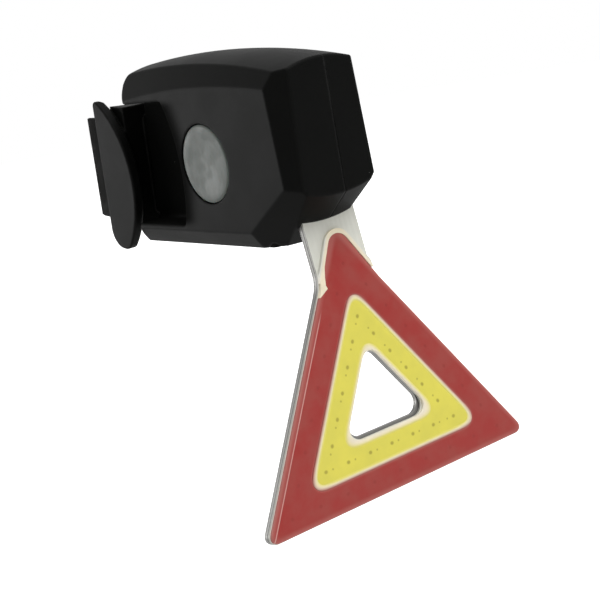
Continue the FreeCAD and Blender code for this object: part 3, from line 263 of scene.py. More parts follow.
def put(tree, kind, inputs=(), **settings):
    """Adds a node; inputs maps a socket's name or place to a value or to another socket."""
    made = tree.nodes.new("ShaderNode" + kind)
    for name, value in settings.items():
        setattr(made, name, value)
    for key, value in dict(inputs).items():
        give(tree, made.inputs[key], value)
    return made


def maths(tree, operation, *values):
    return put(tree, "Math", enumerate(values), operation=operation).outputs[0]


def mixed(tree, amount, first, second):
    """A colour between two, by a mask."""
    made = put(tree, "Mix", {0: amount, 6: first, 7: second}, data_type="RGBA")
    return made.outputs[2]


def ramped(tree, value, low, high, at_low=0.0, at_high=1.0):
    inputs = {"Value": value, "From Min": low, "From Max": high, "To Min": at_low, "To Max": at_high}
    return put(tree, "MapRange", inputs, interpolation_type="SMOOTHSTEP").outputs[0]


def vector_maths(tree, operation, *values):
    return put(tree, "VectorMath", enumerate(values), operation=operation)


def rgba(values):
    return (*values, 1.0)


def new_group(name, inputs, outputs):
    """A shader node group with named sockets; returns its tree, its inputs and its output node."""
    group = bpy.data.node_groups.new(name, "ShaderNodeTree")
    for label, kind, default in inputs:
        made = group.interface.new_socket(label, in_out="INPUT", socket_type="NodeSocket" + kind)
        if default is not None:
            made.default_value = default
    for label, kind in outputs:
        group.interface.new_socket(label, in_out="OUTPUT", socket_type="NodeSocket" + kind)
    start = group.nodes.new("NodeGroupInput")
    end = group.nodes.new("NodeGroupOutput")
    return group, start.outputs, end.inputs


def use(tree, group, **inputs):
    """Places a shared effect in a material; an input's name has its spaces as underscores."""
    made = tree.nodes.new("ShaderNodeGroup")
    made.node_tree = bpy.data.node_groups[group]
    for name, value in inputs.items():
        give(tree, made.inputs[name.replace("_", " ")], value)
    return made.outputs


def object_point(tree):
    return put(tree, "TexCoord").outputs["Object"]


def point_from(tree, start, turn=0.0):
    """Object coordinates from a start in metres, turned about x, in millimetres."""
    inputs = {
        "Vector": object_point(tree), "Location": start, "Rotation": (turn, 0, 0), "Scale": (MM, MM, MM)}
    return put(tree, "Mapping", inputs, vector_type="TEXTURE").outputs[0]


def board_point(tree):
    """The light board's u, v and w."""
    return point_from(tree, BOARD_START, BOARD_TURN)


def case_point(tree):
    return point_from(tree, CASE_ORIGIN * MM)


def build_grain():
    """Fine moulded grain: a height for bump, and a mask that varies the roughness."""
    group, given, out = new_group(
        "fine grain",
        [("Point", "Vector", None), ("Grain size", "Float", 0.15), ("Cloud size", "Float", 6.0)],
        [("Height", "Float"), ("Cloud", "Float")])
    fine = put(group, "TexNoise", {
        "Vector": given["Point"], "Scale": maths(group, "DIVIDE", 1.0, given["Grain size"]),
        "Detail": 3.0, "Roughness": 0.6})
    cloud = put(group, "TexNoise", {
        "Vector": given["Point"], "Scale": maths(group, "DIVIDE", 1.0, given["Cloud size"]),
        "Detail": 4.0, "Roughness": 0.55})
    group.links.new(fine.outputs["Fac"], out["Height"])
    group.links.new(ramped(group, cloud.outputs["Fac"], 0.3, 0.7), out["Cloud"])


def build_specks():
    """Sparse round specks, such as dust on a matt surface."""
    group, given, out = new_group(
        "dust specks",
        [("Point", "Vector", None), ("Spacing", "Float", 2.0), ("Radius", "Float", 0.06),
         ("Share", "Float", 0.3)],
        [("Mask", "Float")])
    cells = put(group, "TexVoronoi", {
        "Vector": given["Point"], "Scale": maths(group, "DIVIDE", 1.0, given["Spacing"]),
        "Randomness": 1.0})
    away = maths(group, "MULTIPLY", cells.outputs["Distance"], given["Spacing"])
    parts = put(group, "SeparateColor", {0: cells.outputs["Color"]}).outputs
    chosen = maths(group, "LESS_THAN", parts[0], given["Share"])
    reach = maths(group, "MULTIPLY", given["Radius"], ramped(group, parts[1], 0.0, 1.0, 0.35, 1.0))
    edge = maths(group, "SUBTRACT", 1.0, ramped(group, away, maths(group, "MULTIPLY", reach, 0.6), reach))
    group.links.new(maths(group, "MULTIPLY", chosen, edge), out["Mask"])


def build_edge_wear():
    """Where a crisp edge is rubbed, and the normal of the same edge eased."""
    group, given, out = new_group(
        "edge wear",
        [("Point", "Vector", None), ("Break-up", "Float", 0.9)],
        [("Mask", "Float"), ("Normal", "Vector")])
    eased = put(group, "Bevel", {"Radius": 0.6 * MM}, samples=6).outputs[0]
    true = put(group, "NewGeometry").outputs["True Normal"]
    turn = vector_maths(group, "DOT_PRODUCT", eased, true).outputs["Value"]
    rubbed = put(group, "TexNoise", {
        "Vector": given["Point"], "Scale": given["Break-up"], "Detail": 3.0}).outputs["Fac"]
    edge = ramped(group, turn, 0.995, 0.86)
    group.links.new(
        maths(group, "MULTIPLY", edge, ramped(group, rubbed, 0.35, 0.65, 0.25, 1.0)), out["Mask"])
    group.links.new(eased, out["Normal"])


def build_light_row():
    """A straight row of round chips: a mask that is 1 on each, in the board's plane."""
    group, given, out = new_group(
        "light row",
        [("Point", "Vector", None), ("Start", "Vector", None), ("Step", "Vector", None),
         ("Last", "Float", 5.0), ("Radius", "Float", 0.4), ("Stretch", "Float", 1.0)],
        [("Mask", "Float")])
    from_start = vector_maths(group, "SUBTRACT", given["Point"], given["Start"]).outputs[0]
    flat = vector_maths(group, "MULTIPLY", from_start, (1, 1, 0)).outputs[0]
    pitch = vector_maths(group, "LENGTH", given["Step"]).outputs["Value"]
    along = vector_maths(group, "NORMALIZE", given["Step"]).outputs[0]
    travel = maths(group, "DIVIDE", vector_maths(group, "DOT_PRODUCT", flat, along).outputs["Value"], pitch)
    nearest = put(group, "Clamp", {
        "Value": maths(group, "ROUND", travel), "Min": 0.0, "Max": given["Last"]}).outputs[0]
    forward = maths(group, "MULTIPLY", maths(group, "SUBTRACT", travel, nearest), pitch)
    squeezed = maths(group, "DIVIDE", forward, given["Stretch"])
    across = vector_maths(group, "LENGTH", vector_maths(group, "CROSS_PRODUCT", flat, along).outputs[0])
    square = maths(group, "ADD", maths(group, "POWER", squeezed, 2.0),
                   maths(group, "POWER", across.outputs["Value"], 2.0))
    away = maths(group, "SQRT", square)
    inner = maths(group, "MULTIPLY", given["Radius"], 0.45)
    outer = maths(group, "MULTIPLY", given["Radius"], 1.3)
    group.links.new(maths(group, "SUBTRACT", 1.0, ramped(group, away, inner, outer)), out["Mask"])


def build_layer():
    """A layer between two depths of the light board."""
    group, given, out = new_group(
        "board layer",
        [("Depth", "Float", 0.0), ("Low", "Float", -1.0), ("High", "Float", 0.0), ("Blur", "Float", 0.03)],
        [("Mask", "Float")])
    over = maths(group, "SUBTRACT", given["Depth"], given["Low"])
    under = maths(group, "SUBTRACT", given["High"], given["Depth"])
    blur = given["Blur"]
    both = maths(group, "MULTIPLY", ramped(group, over, 0.0, blur), ramped(group, under, 0.0, blur))
    group.links.new(both, out["Mask"])


def build_reach():
    """How far inside a triangle's outline a place on the board lies, with softened corners."""
    group, given, out = new_group(
        "triangle reach",
        [("Point", "Vector", None), ("Apex", "Float", 0.0), ("Foot", "Float", 40.0),
         ("Slope", "Float", SIDE_SLOPE), ("Corner", "Float", 5.5)],
        [("Inside", "Float")])
    parts = put(group, "SeparateXYZ", {0: given["Point"]}).outputs
    opposite = maths(group, "MULTIPLY", parts[0], -1.0)
    from_middle = maths(group, "SMOOTH_MAX", parts[0], opposite, given["Corner"])
    fall = maths(group, "SUBTRACT", maths(group, "MULTIPLY", parts[1], -1.0), given["Apex"])
    across = maths(group, "SUBTRACT", maths(group, "MULTIPLY", fall, given["Slope"]), from_middle)
    steepness = maths(group, "SQRT", maths(group, "MULTIPLY_ADD", given["Slope"], given["Slope"], 1.0))
    side = maths(group, "DIVIDE", across, steepness)
    foot = maths(group, "ADD", given["Foot"], parts[1])
    group.links.new(maths(group, "SMOOTH_MIN", side, foot, given["Corner"]), out["Inside"])


def new_material(name):
    """An empty material and its Principled shader."""
    made = bpy.data.materials.new(name)
    made.use_nodes = True
    shader = made.node_tree.nodes["Principled BSDF"]
    return made, made.node_tree, shader


def feed(tree, shader, **inputs):
    """Sets or links the shader's sockets; a name has its spaces as underscores."""
    for name, value in inputs.items():
        give(tree, shader.inputs[name.replace("_", " ")], value)


def seen_plainly(tree):
    """A mask of the rays that show a thing itself, mirrored or through glass, and not its light."""
    path = put(tree, "LightPath").outputs
    mirrored = maths(tree, "MAXIMUM", path["Is Glossy Ray"], path["Is Transmission Ray"])
    return maths(tree, "MAXIMUM", path["Is Camera Ray"], mirrored)


def bump(tree, height, distance, strength=1.0, normal=None):
    inputs = {"Height": height, "Distance": distance * MM, "Strength": strength}
    if normal is not None:
        inputs["Normal"] = normal
    return put(tree, "Bump", inputs).outputs[0]


def patchy(tree, grain, low, high):
    """A roughness that varies with the grain's clouds."""
    return ramped(tree, grain["Cloud"], 0.0, 1.0, low, high)


def paint_case(name, colours, dish):
    """Fine-grained black plastic with rubbed edges and a few dust specks.

    The dish is 1 where the finger rooms get painted shade, a lower specular level with a rougher finish,
    and where the halves part.
    """
    made, tree, shader = new_material(name)
    point = case_point(tree)
    grain = use(tree, "fine grain", Point=point, Grain_size=0.16, Cloud_size=7.0)
    wear = use(tree, "edge wear", Point=point)
    specks = use(tree, "dust specks", Point=point, Spacing=2.6, Radius=0.09, Share=0.16)
    base = rgba(colours.case)
    lighter = rgba(value * 1.3 for value in colours.case)
    body = mixed(tree, grain["Cloud"], base, lighter)
    parts = put(tree, "SeparateXYZ", {0: point}).outputs
    # Painted shade: the finger rooms are darkened by a lower specular level and a rougher finish, fading in
    # at their edges
    from_centre = vector_maths(tree, "SUBTRACT", point, SCOOP_AT).outputs[0]
    flat = vector_maths(tree, "MULTIPLY", from_centre, (0, 1, 1)).outputs[0]
    round_part = ramped(tree, vector_maths(tree, "LENGTH", flat).outputs["Value"], *SCOOP_EDGE)
    over = ramped(tree, parts[2], *SCOOP_FOOT)
    under = ramped(tree, parts[2], *SCOOP_TOP)
    scoop_shade = maths(tree, "MULTIPLY", maths(tree, "MULTIPLY", round_part, over), under)
    scoop_shade = maths(tree, "MULTIPLY", scoop_shade, dish)
    rubbed = maths(tree, "MULTIPLY", wear["Mask"], maths(tree, "SUBTRACT", 1.0, scoop_shade))
    edged = mixed(tree, rubbed, body, EDGE_RUBBED)
    line = ramped(tree, maths(tree, "ABSOLUTE", parts[0]), *SEAM_HALF)
    seam = maths(tree, "MULTIPLY", line, ramped(tree, parts[2], *SEAM_UNDER, SEAM_ON_ROOF, dish))
    lined = mixed(tree, maths(tree, "MULTIPLY", seam, SEAM_SHARE), edged, SEAM_DARK)
    dusty = mixed(tree, specks["Mask"], lined, CASE_DUST)
    rough = patchy(tree, grain, 0.49, 0.52)
    duller = maths(tree, "MULTIPLY_ADD", scoop_shade, 0.25, rough)
    shape = bump(tree, grain["Height"], 0.02, 0.6, wear["Normal"])
    sunk = bump(tree, seam, -SEAM_DEEP, 1.0, shape)
    shine = ramped(tree, scoop_shade, 0.0, 1.0, CASE_SHINE, SCOOP_SHADE_SHINE) if dish else CASE_SHINE
    feed(tree, shader, Base_Color=dusty, Roughness=duller, Normal=sunk, Specular_IOR_Level=shine)
    return made


def paint_rubber(colours):
    """Matt rubber, a little greyer where it has been handled."""
    made, tree, shader = new_material("matt rubber")
    point = case_point(tree)
    grain = use(tree, "fine grain", Point=point, Grain_size=0.3, Cloud_size=3.0)
    specks = use(tree, "dust specks", Point=point, Spacing=1.8, Radius=0.08, Share=0.25)
    lighter = rgba(value * 2.2 for value in colours.rubber)
    body = mixed(tree, grain["Cloud"], rgba(colours.rubber), lighter)
    dusty = mixed(tree, specks["Mask"], body, RUBBER_DUST)
    feed(tree, shader, Base_Color=dusty, Roughness=patchy(tree, grain, 0.62, 0.8),
         Normal=bump(tree, grain["Height"], 0.05, 0.7), Specular_IOR_Level=0.05)
    return made


def paint_button(colours):
    """Frosted cap: a little darker outside its dish, and paler at its rim as a painted highlight."""
    made, tree, shader = new_material("button frosted")
    point = point_from(tree, BUTTON_START)
    flat = vector_maths(tree, "MULTIPLY", point, (0, 1, 1)).outputs[0]
    radius = vector_maths(tree, "LENGTH", flat).outputs["Value"]
    grain = use(tree, "fine grain", Point=point, Grain_size=0.2, Cloud_size=2.4)
    core = ramped(tree, radius, 4.2, 5.6)
    # Painted highlight: the rim is paler all round
    rim = ramped(tree, radius, 6.3, 6.9)
    darker = rgba(value * 0.86 for value in colours.button)
    body = mixed(tree, core, rgba(colours.button), darker)
    edged = mixed(tree, rim, body, rgba(value * 1.25 for value in colours.button))
    clouded = mixed(tree, maths(tree, "MULTIPLY", grain["Cloud"], 0.12), edged, BUTTON_CLOUD)
    feed(tree, shader, Base_Color=clouded, Roughness=patchy(tree, grain, 0.4, 0.5),
         Normal=bump(tree, grain["Height"], 0.012, 0.5), Specular_IOR_Level=0.25,
         Subsurface_Weight=0.15, Subsurface_Scale=0.6 * MM)
    return made


def paint_mask(colours):
    """White solder mask over faint tracks, with the circuit's core showing on its cut edges."""
    made, tree, shader = new_material("white mask")
    point = board_point(tree)
    depth = put(tree, "SeparateXYZ", {0: point}).outputs[2]
    grain = use(tree, "fine grain", Point=point, Grain_size=0.12, Cloud_size=4.0)
    face = ramped(tree, depth, -0.05, -0.02)
    line = use(tree, "board layer", Depth=depth, Low=-0.12, High=-0.03)["Mask"]
    foot = use(tree, "board layer", Depth=depth, Low=CIRCUIT_BACK - 0.02, High=CIRCUIT_BACK + 0.08)["Mask"]
    track = put(tree, "TexWave", {
        "Vector": point, "Scale": 0.31, "Distortion": 0.0, "Phase Offset": 1.57},
        bands_direction="X", wave_profile="SIN").outputs["Fac"]
    raised = ramped(tree, track, 0.35, 0.55)
    clean = mixed(tree, maths(tree, "MULTIPLY", grain["Cloud"], 0.5), rgba(colours.mask),
                  rgba(value * 0.93 for value in colours.mask))
    tracked = mixed(tree, maths(tree, "MULTIPLY", raised, 0.05), clean, TRACK_TINT)
    side = mixed(tree, maths(tree, "MAXIMUM", line, foot), rgba(colours.core), LAYER_LINE)
    height = maths(tree, "ADD", raised, maths(tree, "MULTIPLY", grain["Height"], 0.2))
    feed(tree, shader, Base_Color=mixed(tree, face, side, tracked),
         Roughness=patchy(tree, grain, 0.34, 0.44), Normal=bump(tree, height, 0.02, 0.6))
    return made


def paint_aluminium():
    """Brushed faces, and punched edges that are bright above and torn below; the edges' colours are partly
    the metal's own and partly painted shade.
    """
    made, tree, shader = new_material("plate aluminium")
    point = board_point(tree)
    depth = put(tree, "SeparateXYZ", {0: point}).outputs[2]
    stretched = vector_maths(tree, "MULTIPLY", point, (0.3, 9.0, 9.0)).outputs[0]
    brushed = put(tree, "TexNoise", {"Vector": stretched, "Scale": 1.5, "Detail": 4.0}).outputs["Fac"]
    drawn = vector_maths(tree, "MULTIPLY", point, (6.0, 6.0, 0.6)).outputs[0]
    torn = put(tree, "TexNoise", {"Vector": drawn, "Scale": 1.2, "Detail": 5.0}).outputs["Fac"]
    low = use(tree, "board layer", Depth=depth, Low=PLATE_BACK + 0.02, High=PLATE_BACK + 0.38)["Mask"]
    rough_zone = maths(tree, "MULTIPLY", low, ramped(tree, torn, 0.3, 0.7))
    face = ramped(tree, depth, PLATE_BACK + 0.03, PLATE_BACK + 0.01)
    # Painted shade, with the metal's own tone: the punched edges are darker than the brushed faces
    cut = mixed(tree, torn, SHADED_CUT_DARK, SHADED_CUT_PALE)
    torn_cut = mixed(tree, rough_zone, cut, SHADED_CUT_TORN)
    pale = mixed(tree, brushed, BRUSHED_DARK, BRUSHED_PALE)
    feed(tree, shader, Base_Color=mixed(tree, face, torn_cut, pale),
         Metallic=0.7, Roughness=ramped(tree, torn, 0.2, 0.8, 0.4, 0.56),
         Normal=bump(tree, maths(tree, "ADD", brushed, rough_zone), 0.02, 0.5))
    return made


def paint_cream(name, colours, apex, foot, slope, *neighbours):
    """Smooth silicone bead whose borders fade into its neighbours.

    Each neighbour is a colour and the two reaches inside the outline between which it fades.
    """
    made, tree, shader = new_material(name)
    point = board_point(tree)
    grain = use(tree, "fine grain", Point=point, Grain_size=0.3, Cloud_size=1.8)
    reach = use(tree, "triangle reach", Point=point, Apex=apex, Foot=foot, Slope=slope)["Inside"]
    body = mixed(tree, grain["Cloud"], rgba(colours.dam), rgba(value * 0.94 for value in colours.dam))
    for neighbour, near, far in neighbours:
        body = mixed(tree, ramped(tree, reach, far, near), body, rgba(neighbour))
    feed(tree, shader, Base_Color=body, Roughness=patchy(tree, grain, 0.36, 0.48),
         Normal=bump(tree, grain["Height"], 0.03, 0.35), Specular_IOR_Level=0.3)
    return made


# The painted highlight, a thin pale line inside the red fill's left side: how far in, its half width, and
# where it fades in
GLINT_IN = 0.85
GLINT_HALF = (0.14, 0.04)
GLINT_START = (-7.0, -9.0)
GLINT_SHARE = 0.65
FAR_FOOT = 999.0

# Rows of chips as they show on the fills: first place, step to the next, and how many steps
YELLOW_ROWS = (
    ((-0.34, -15.82), (-2.47, -3.8), 5),
    ((11.6, -34.73), (-2.405, 3.8), 4),
    ((-15.3, -38.4), (4.896, 0.0), 5),
    ((14.11, -38.4), (4.0, 0.0), 0),
)
YELLOW_SMALL_SHIFT = ((-0.752, -1.157), (-0.748, 1.182), (1.5, 0.0), (-1.54, 0.0))
RED_ROWS = (
    ((-0.2, -6.5), (-3.0, -4.586), 7),
    ((20.9, -38.6), (-2.933, 4.583), 6),
    ((-24.1, -43.3), (5.925, 0.0), 8),
)


def dots(tree, point, rows, radius, shifts=None, stretch=1.0):
    """One mask over several rows of chips."""
    whole = None
    for i, (first, step, last) in enumerate(rows):
        shift = shifts[i] if shifts else (0.0, 0.0)
        start = (first[0] + shift[0], first[1] + shift[1], 0.0)
        mask = use(tree, "light row", Point=point, Start=start, Step=(*step, 0.0),
                   Last=float(last), Radius=radius, Stretch=stretch)["Mask"]
        whole = mask if whole is None else maths(tree, "MAXIMUM", whole, mask)
    return whole


def paint_gel(name, base, cloudy, edge, dot, rows, radius, strength, shifts=None, rim=None):
    """Cloudy soft silicone over the chips; a rim is paler, with a painted highlight, a thin pale line,
    inside its left side.
    """
    made, tree, shader = new_material(name)
    point = board_point(tree)
    grain = use(tree, "fine grain", Point=point, Grain_size=0.9, Cloud_size=4.5)
    parts = put(tree, "SeparateXYZ", {0: point}).outputs
    thin = ramped(tree, parts[2], 0.545, 0.46)
    shown = dots(tree, point, rows, radius, stretch=1.15)
    if shifts:
        small = dots(tree, point, rows, radius * 0.6, shifts)
        shown = maths(tree, "MAXIMUM", shown, maths(tree, "MULTIPLY", small, 0.8))
    clouded = mixed(tree, grain["Cloud"], rgba(base), rgba(cloudy))
    pale = mixed(tree, maths(tree, "MULTIPLY", thin, 0.75), clouded, rgba(edge))
    if rim:
        apex, foot = rim
        reach = use(tree, "triangle reach", Point=point, Apex=apex, Foot=foot, Corner=2.0)["Inside"]
        pale = mixed(tree, ramped(tree, reach, 1.1, 0.1, 0.0, 0.55), pale, rgba(edge))
        # Painted highlight: a thin pale line inside the rim's left side
        flank = use(tree, "triangle reach", Point=point, Apex=apex, Foot=FAR_FOOT)["Inside"]
        off = maths(tree, "ABSOLUTE", maths(tree, "SUBTRACT", flank, GLINT_IN))
        lower = ramped(tree, parts[0], *GLINT_START, 0.0, GLINT_SHARE)
        glint = maths(tree, "MULTIPLY", ramped(tree, off, *GLINT_HALF), lower)
        pale = mixed(tree, glint, pale, GLINT)
    dotted = mixed(tree, maths(tree, "MULTIPLY", shown, strength), pale, rgba(dot))
    sunk = maths(tree, "SUBTRACT", maths(tree, "MULTIPLY", grain["Height"], 0.5), shown)
    feed(tree, shader, Base_Color=dotted, Roughness=patchy(tree, grain, 0.44, 0.56),
         Normal=bump(tree, sunk, 0.03, 0.5), Specular_IOR_Level=0.25)
    return made


def paint_plain(name, base, rough, metal=0.0, grain_size=0.3, depth=0.01, contrast=0.75):
    """An inner finish: a colour that varies with a grain of its own scale."""
    made, tree, shader = new_material(name)
    point = case_point(tree)
    grain = use(tree, "fine grain", Point=point, Grain_size=grain_size, Cloud_size=grain_size * 9)
    body = mixed(tree, grain["Cloud"], rgba(base), rgba(value * contrast for value in base))
    feed(tree, shader, Base_Color=body, Metallic=metal,
         Roughness=ramped(tree, grain["Height"], 0.2, 0.8, rough * 0.85, rough * 1.15),
         Normal=bump(tree, grain["Height"], depth, 0.7))
    return made


def paint_board_green():
    """Green solder mask over tracks and rows of gold pads."""
    made, tree, shader = new_material("board green")
    point = case_point(tree)
    tracks = put(tree, "TexBrick", {
        "Vector": vector_maths(tree, "MULTIPLY", point, (0, 1, 1)).outputs[0],
        "Scale": 0.9, "Mortar Size": 0.045, "Mortar Smooth": 0.1}).outputs["Fac"]
    pads = use(tree, "dust specks", Point=point, Spacing=1.6, Radius=0.3, Share=0.5)["Mask"]
    green = mixed(tree, tracks, BOARD_GREEN, TRACK_GREEN)
    feed(tree, shader, Base_Color=mixed(tree, pads, green, PAD_GOLD), Roughness=0.4,
         Metallic=maths(tree, "MULTIPLY", pads, 0.9), Normal=bump(tree, tracks, 0.03, 0.5))
    return made


def paint_foil():
    """Dull foil pouch with shallow creases."""
    made, tree, shader = new_material("cell foil")
    point = case_point(tree)
    creases = put(tree, "TexVoronoi", {"Vector": point, "Scale": 0.35}, feature="F2").outputs["Distance"]
    fine = put(tree, "TexNoise", {"Vector": point, "Scale": 2.0, "Detail": 4.0}).outputs["Fac"]
    feed(tree, shader, Base_Color=mixed(tree, fine, FOIL_DARK, FOIL_PALE),
         Metallic=0.8, Roughness=ramped(tree, fine, 0.2, 0.8, 0.32, 0.5),
         Normal=bump(tree, creases, 0.12, 0.5))
    return made


# Pieces

def finish_piece(bm, name, material, place, nodes, body="root", smooth=35):
    """Turns a bmesh in millimetres into a piece at its place, which stands for CAD nodes."""
    bmesh.ops.remove_doubles(bm, verts=bm.verts, dist=1e-4)
    bmesh.ops.recalc_face_normals(bm, faces=bm.faces)
    bmesh.ops.transform(bm, matrix=place, verts=bm.verts)
    mesh = bpy.data.meshes.new(name)
    bm.to_mesh(mesh)
    bm.free()
    mesh.shade_smooth()
    mesh.set_sharp_from_angle(angle=math.radians(smooth))
    made = bpy.data.objects.new(name, mesh)
    bpy.context.scene.collection.objects.link(made)
    made.data.materials.append(material)
    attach(made, body)
    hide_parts(*nodes)


def repaint(node, material):
    """Gives a carried-over CAD node its finish."""
    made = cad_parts[node]
    made.data.materials.clear()
    made.data.materials.append(material)


def rounded_face(bm, corners, radii, segments=8):
    """A flat face with each corner rounded by its own radius."""
    verts = [bm.verts.new((x, y, 0)) for x, y in corners]
    bm.faces.new(verts)
    before = corners[-1:] + corners[:-1]
    after = corners[1:] + corners[:1]
    for vert, radius, last, following in zip(verts, radii, before, after):
        if radius:
            into = (Vector(last) - vert.co.xy).normalized()
            out = (Vector(following) - vert.co.xy).normalized()
            bmesh.ops.bevel(
                bm, geom=[vert], offset=radius / math.tan(into.angle(out) / 2), offset_type="OFFSET",
                affect="VERTICES", segments=segments, profile=0.5, material=-1)


def triangle(ring):
    """A ring's corners and their radii."""
    apex, foot, radius = ring
    half = (foot - apex) * SIDE_SLOPE
    return [(0, -apex), (-half, -foot), (half, -foot)], (radius,) * 3


def inside(ring, by):
    """The ring that lies further in than another."""
    apex, foot, radius = ring
    return apex + by / math.sin(HALF_ANGLE), foot - by, radius - by


def between(outer, outer_radii, inner, inner_radii):
    """The flat band between two rounded outlines."""
    bm = bmesh.new()
    rounded_face(bm, outer, outer_radii)
    rounded_face(bm, inner, inner_radii)
    bmesh.ops.delete(bm, geom=bm.faces[:], context="FACES_ONLY")
    bmesh.ops.triangle_fill(bm, edges=bm.edges[:], use_beauty=True, normal=(0, 0, 1))
    return bm


def raised(bm, steps):
    """Lifts a flat band and crowns it: each step is how far in and how far up."""
    lift = steps[0][1]
    band = bmesh.ops.extrude_face_region(bm, geom=bm.faces[:])
    tops = [item for item in band["geom"] if isinstance(item, bmesh.types.BMFace)]
    verts = [item for item in band["geom"] if isinstance(item, bmesh.types.BMVert)]
    bmesh.ops.translate(bm, verts=verts, vec=(0, 0, lift))
    for face in tops:
        face.normal_update()
        if face.normal.z < 0:
            face.normal_flip()
    for inset, rise in steps[1:]:
        bmesh.ops.inset_region(
            bm, faces=tops, thickness=inset, depth=rise, use_even_offset=True, use_boundary=True)


# Steps in from the edges of a fill or a line: how far in, and how far up
CROWN = ((0.06, 0.07), (0.1, 0.04), (0.14, 0.025), (0.22, 0.02), (0.32, 0.015))
FLAT_CROWN = ((0.06, 0.02), (0.1, 0.015), (0.14, 0.01), (0.22, 0.01), (0.32, 0.005))
BEAD = ((0.05, 0.02), (0.08, 0.02), (0.1, 0.015), (0.12, 0.01))


def crowned(steps, height):
    """The steps of a crown whose last one ends at a height."""
    return [(0, height - sum(rise for inset, rise in steps))] + list(steps)


def make_world(scene):
    """White wherever it is seen, and a plain dim light on everything."""
    world = bpy.data.worlds.new("studio")
    world.use_nodes = True
    tree = world.node_tree
    tree.nodes.clear()
    seen = seen_plainly(tree)
    dim = put(tree, "Background", {"Color": (1, 1, 1, 1), "Strength": WORLD_LEVEL}).outputs[0]
    white = put(tree, "Background", {"Color": (1, 1, 1, 1), "Strength": 1.0}).outputs[0]
    shown = put(tree, "MixShader", {0: seen, 1: dim, 2: white}).outputs[0]
    put(tree, "OutputWorld", {"Surface": shown})
    scene.world = world


def make_floor(scene):
    """A pale round floor that fades into the white, and can be seen through from below."""
    floor = bmesh.new()
    bmesh.ops.create_circle(floor, cap_ends=True, segments=96, radius=FLOOR_RADIUS)
    bmesh.ops.translate(floor, verts=floor.verts, vec=(0, 0, CAD_BOX[0].z - FLOOR_DROP * MM))
    mesh = bpy.data.meshes.new("floor")
    floor.to_mesh(mesh)
    floor.free()
    ground = bpy.data.objects.new("floor", mesh)
    scene.collection.objects.link(ground)
    made, tree, shader = new_material("pale floor")
    away = vector_maths(tree, "LENGTH", object_point(tree)).outputs["Value"]
    glow = maths(tree, "MULTIPLY", seen_plainly(tree), ramped(tree, away, *FLOOR_REACH, *FLOOR_GLOW))
    behind = put(tree, "NewGeometry").outputs["Backfacing"]
    feed(tree, shader, Base_Color=(0.8, 0.8, 0.8, 1), Roughness=0.9, Specular_IOR_Level=0.0,
         Emission_Color=(1, 1, 1, 1), Emission_Strength=glow, Alpha=maths(tree, "SUBTRACT", 1.0, behind))
    mesh.materials.append(made)


def add_lamps(scene):
    """Soft round lamps that face the middle of the object."""
    middle = (CAD_BOX[0] + CAD_BOX[1]) / 2
    for name, way, distance, size, power in LAMPS:
        lamp = bpy.data.lights.new(name, "AREA")
        lamp.shape = "DISK"
        lamp.size = size
        lamp.energy = power
        holder = bpy.data.objects.new(name, lamp)
        out = Vector(way).normalized()
        holder.location = middle + out * distance
        holder.rotation_mode = "QUATERNION"
        holder.rotation_quaternion = out.to_track_quat("Z", "Y")
        scene.collection.objects.link(holder)


def add_camera(scene):
    """The photograph's camera."""
    lens = bpy.data.cameras.new("camera")
    lens.sensor_width = SENSOR
    lens.lens = CAMERA_LENS
    lens.clip_start = 0.01
    camera = bpy.data.objects.new("camera", lens)
    turn = Matrix((CAMERA_RIGHT, -CAMERA_DOWN, -CAMERA_AHEAD)).transposed().to_4x4()
    camera.matrix_world = Matrix.Translation((CASE_ORIGIN + CAMERA_AT) * MM) @ turn
    scene.collection.objects.link(camera)
    scene.camera = camera


class TAILLIGHT_OT_stage(bpy.types.Operator):
    """Makes the pale floor, the white surroundings, the soft lights and the camera"""
    bl_idname = "taillight.stage"
    bl_label = "Stage"

    def execute(self, context):
        scene = context.scene
        scene.view_settings.view_transform = "Standard"
        make_world(scene)
        make_floor(scene)
        add_lamps(scene)
        add_camera(scene)
        return {"FINISHED"}


class TAILLIGHT_OT_case(bpy.types.Operator):
    """Finishes the case's two halves and the seat-post bracket"""
    bl_idname = "taillight.case"
    bl_label = "Case and bracket"

    def execute(self, context):
        colours = context.scene.taillight_colours
        shells = paint_case("case black", colours, 1.0)
        for node in ("left_shell", "right_shell"):
            repaint(node, shells)
        repaint("post_bracket", paint_case("bracket black", colours, 0.0))
        return {"FINISHED"}


class TAILLIGHT_OT_board(bpy.types.Operator):
    """Finishes the light board's layers: circuit, adhesive film and plate"""
    bl_idname = "taillight.board"
    bl_label = "Light board"

    def execute(self, context):
        colours = context.scene.taillight_colours
        repaint("lamp_circuit", paint_mask(colours))
        repaint("lamp_bond", paint_plain("bond film", (0.012, 0.012, 0.012), rough=0.7, grain_size=0.2))
        repaint("lamp_plate", paint_aluminium())
        repaint("solder_pads", paint_plain(
            "solder", (0.62, 0.62, 0.6), rough=0.3, metal=0.9, grain_size=0.5, depth=0.03))
        chip = paint_plain("light chip", (0.75, 0.68, 0.3), rough=0.4, grain_size=0.2)
        for node in ("red_chips", "yellow_chips", "status_lamps"):
            repaint(node, chip)
        return {"FINISHED"}


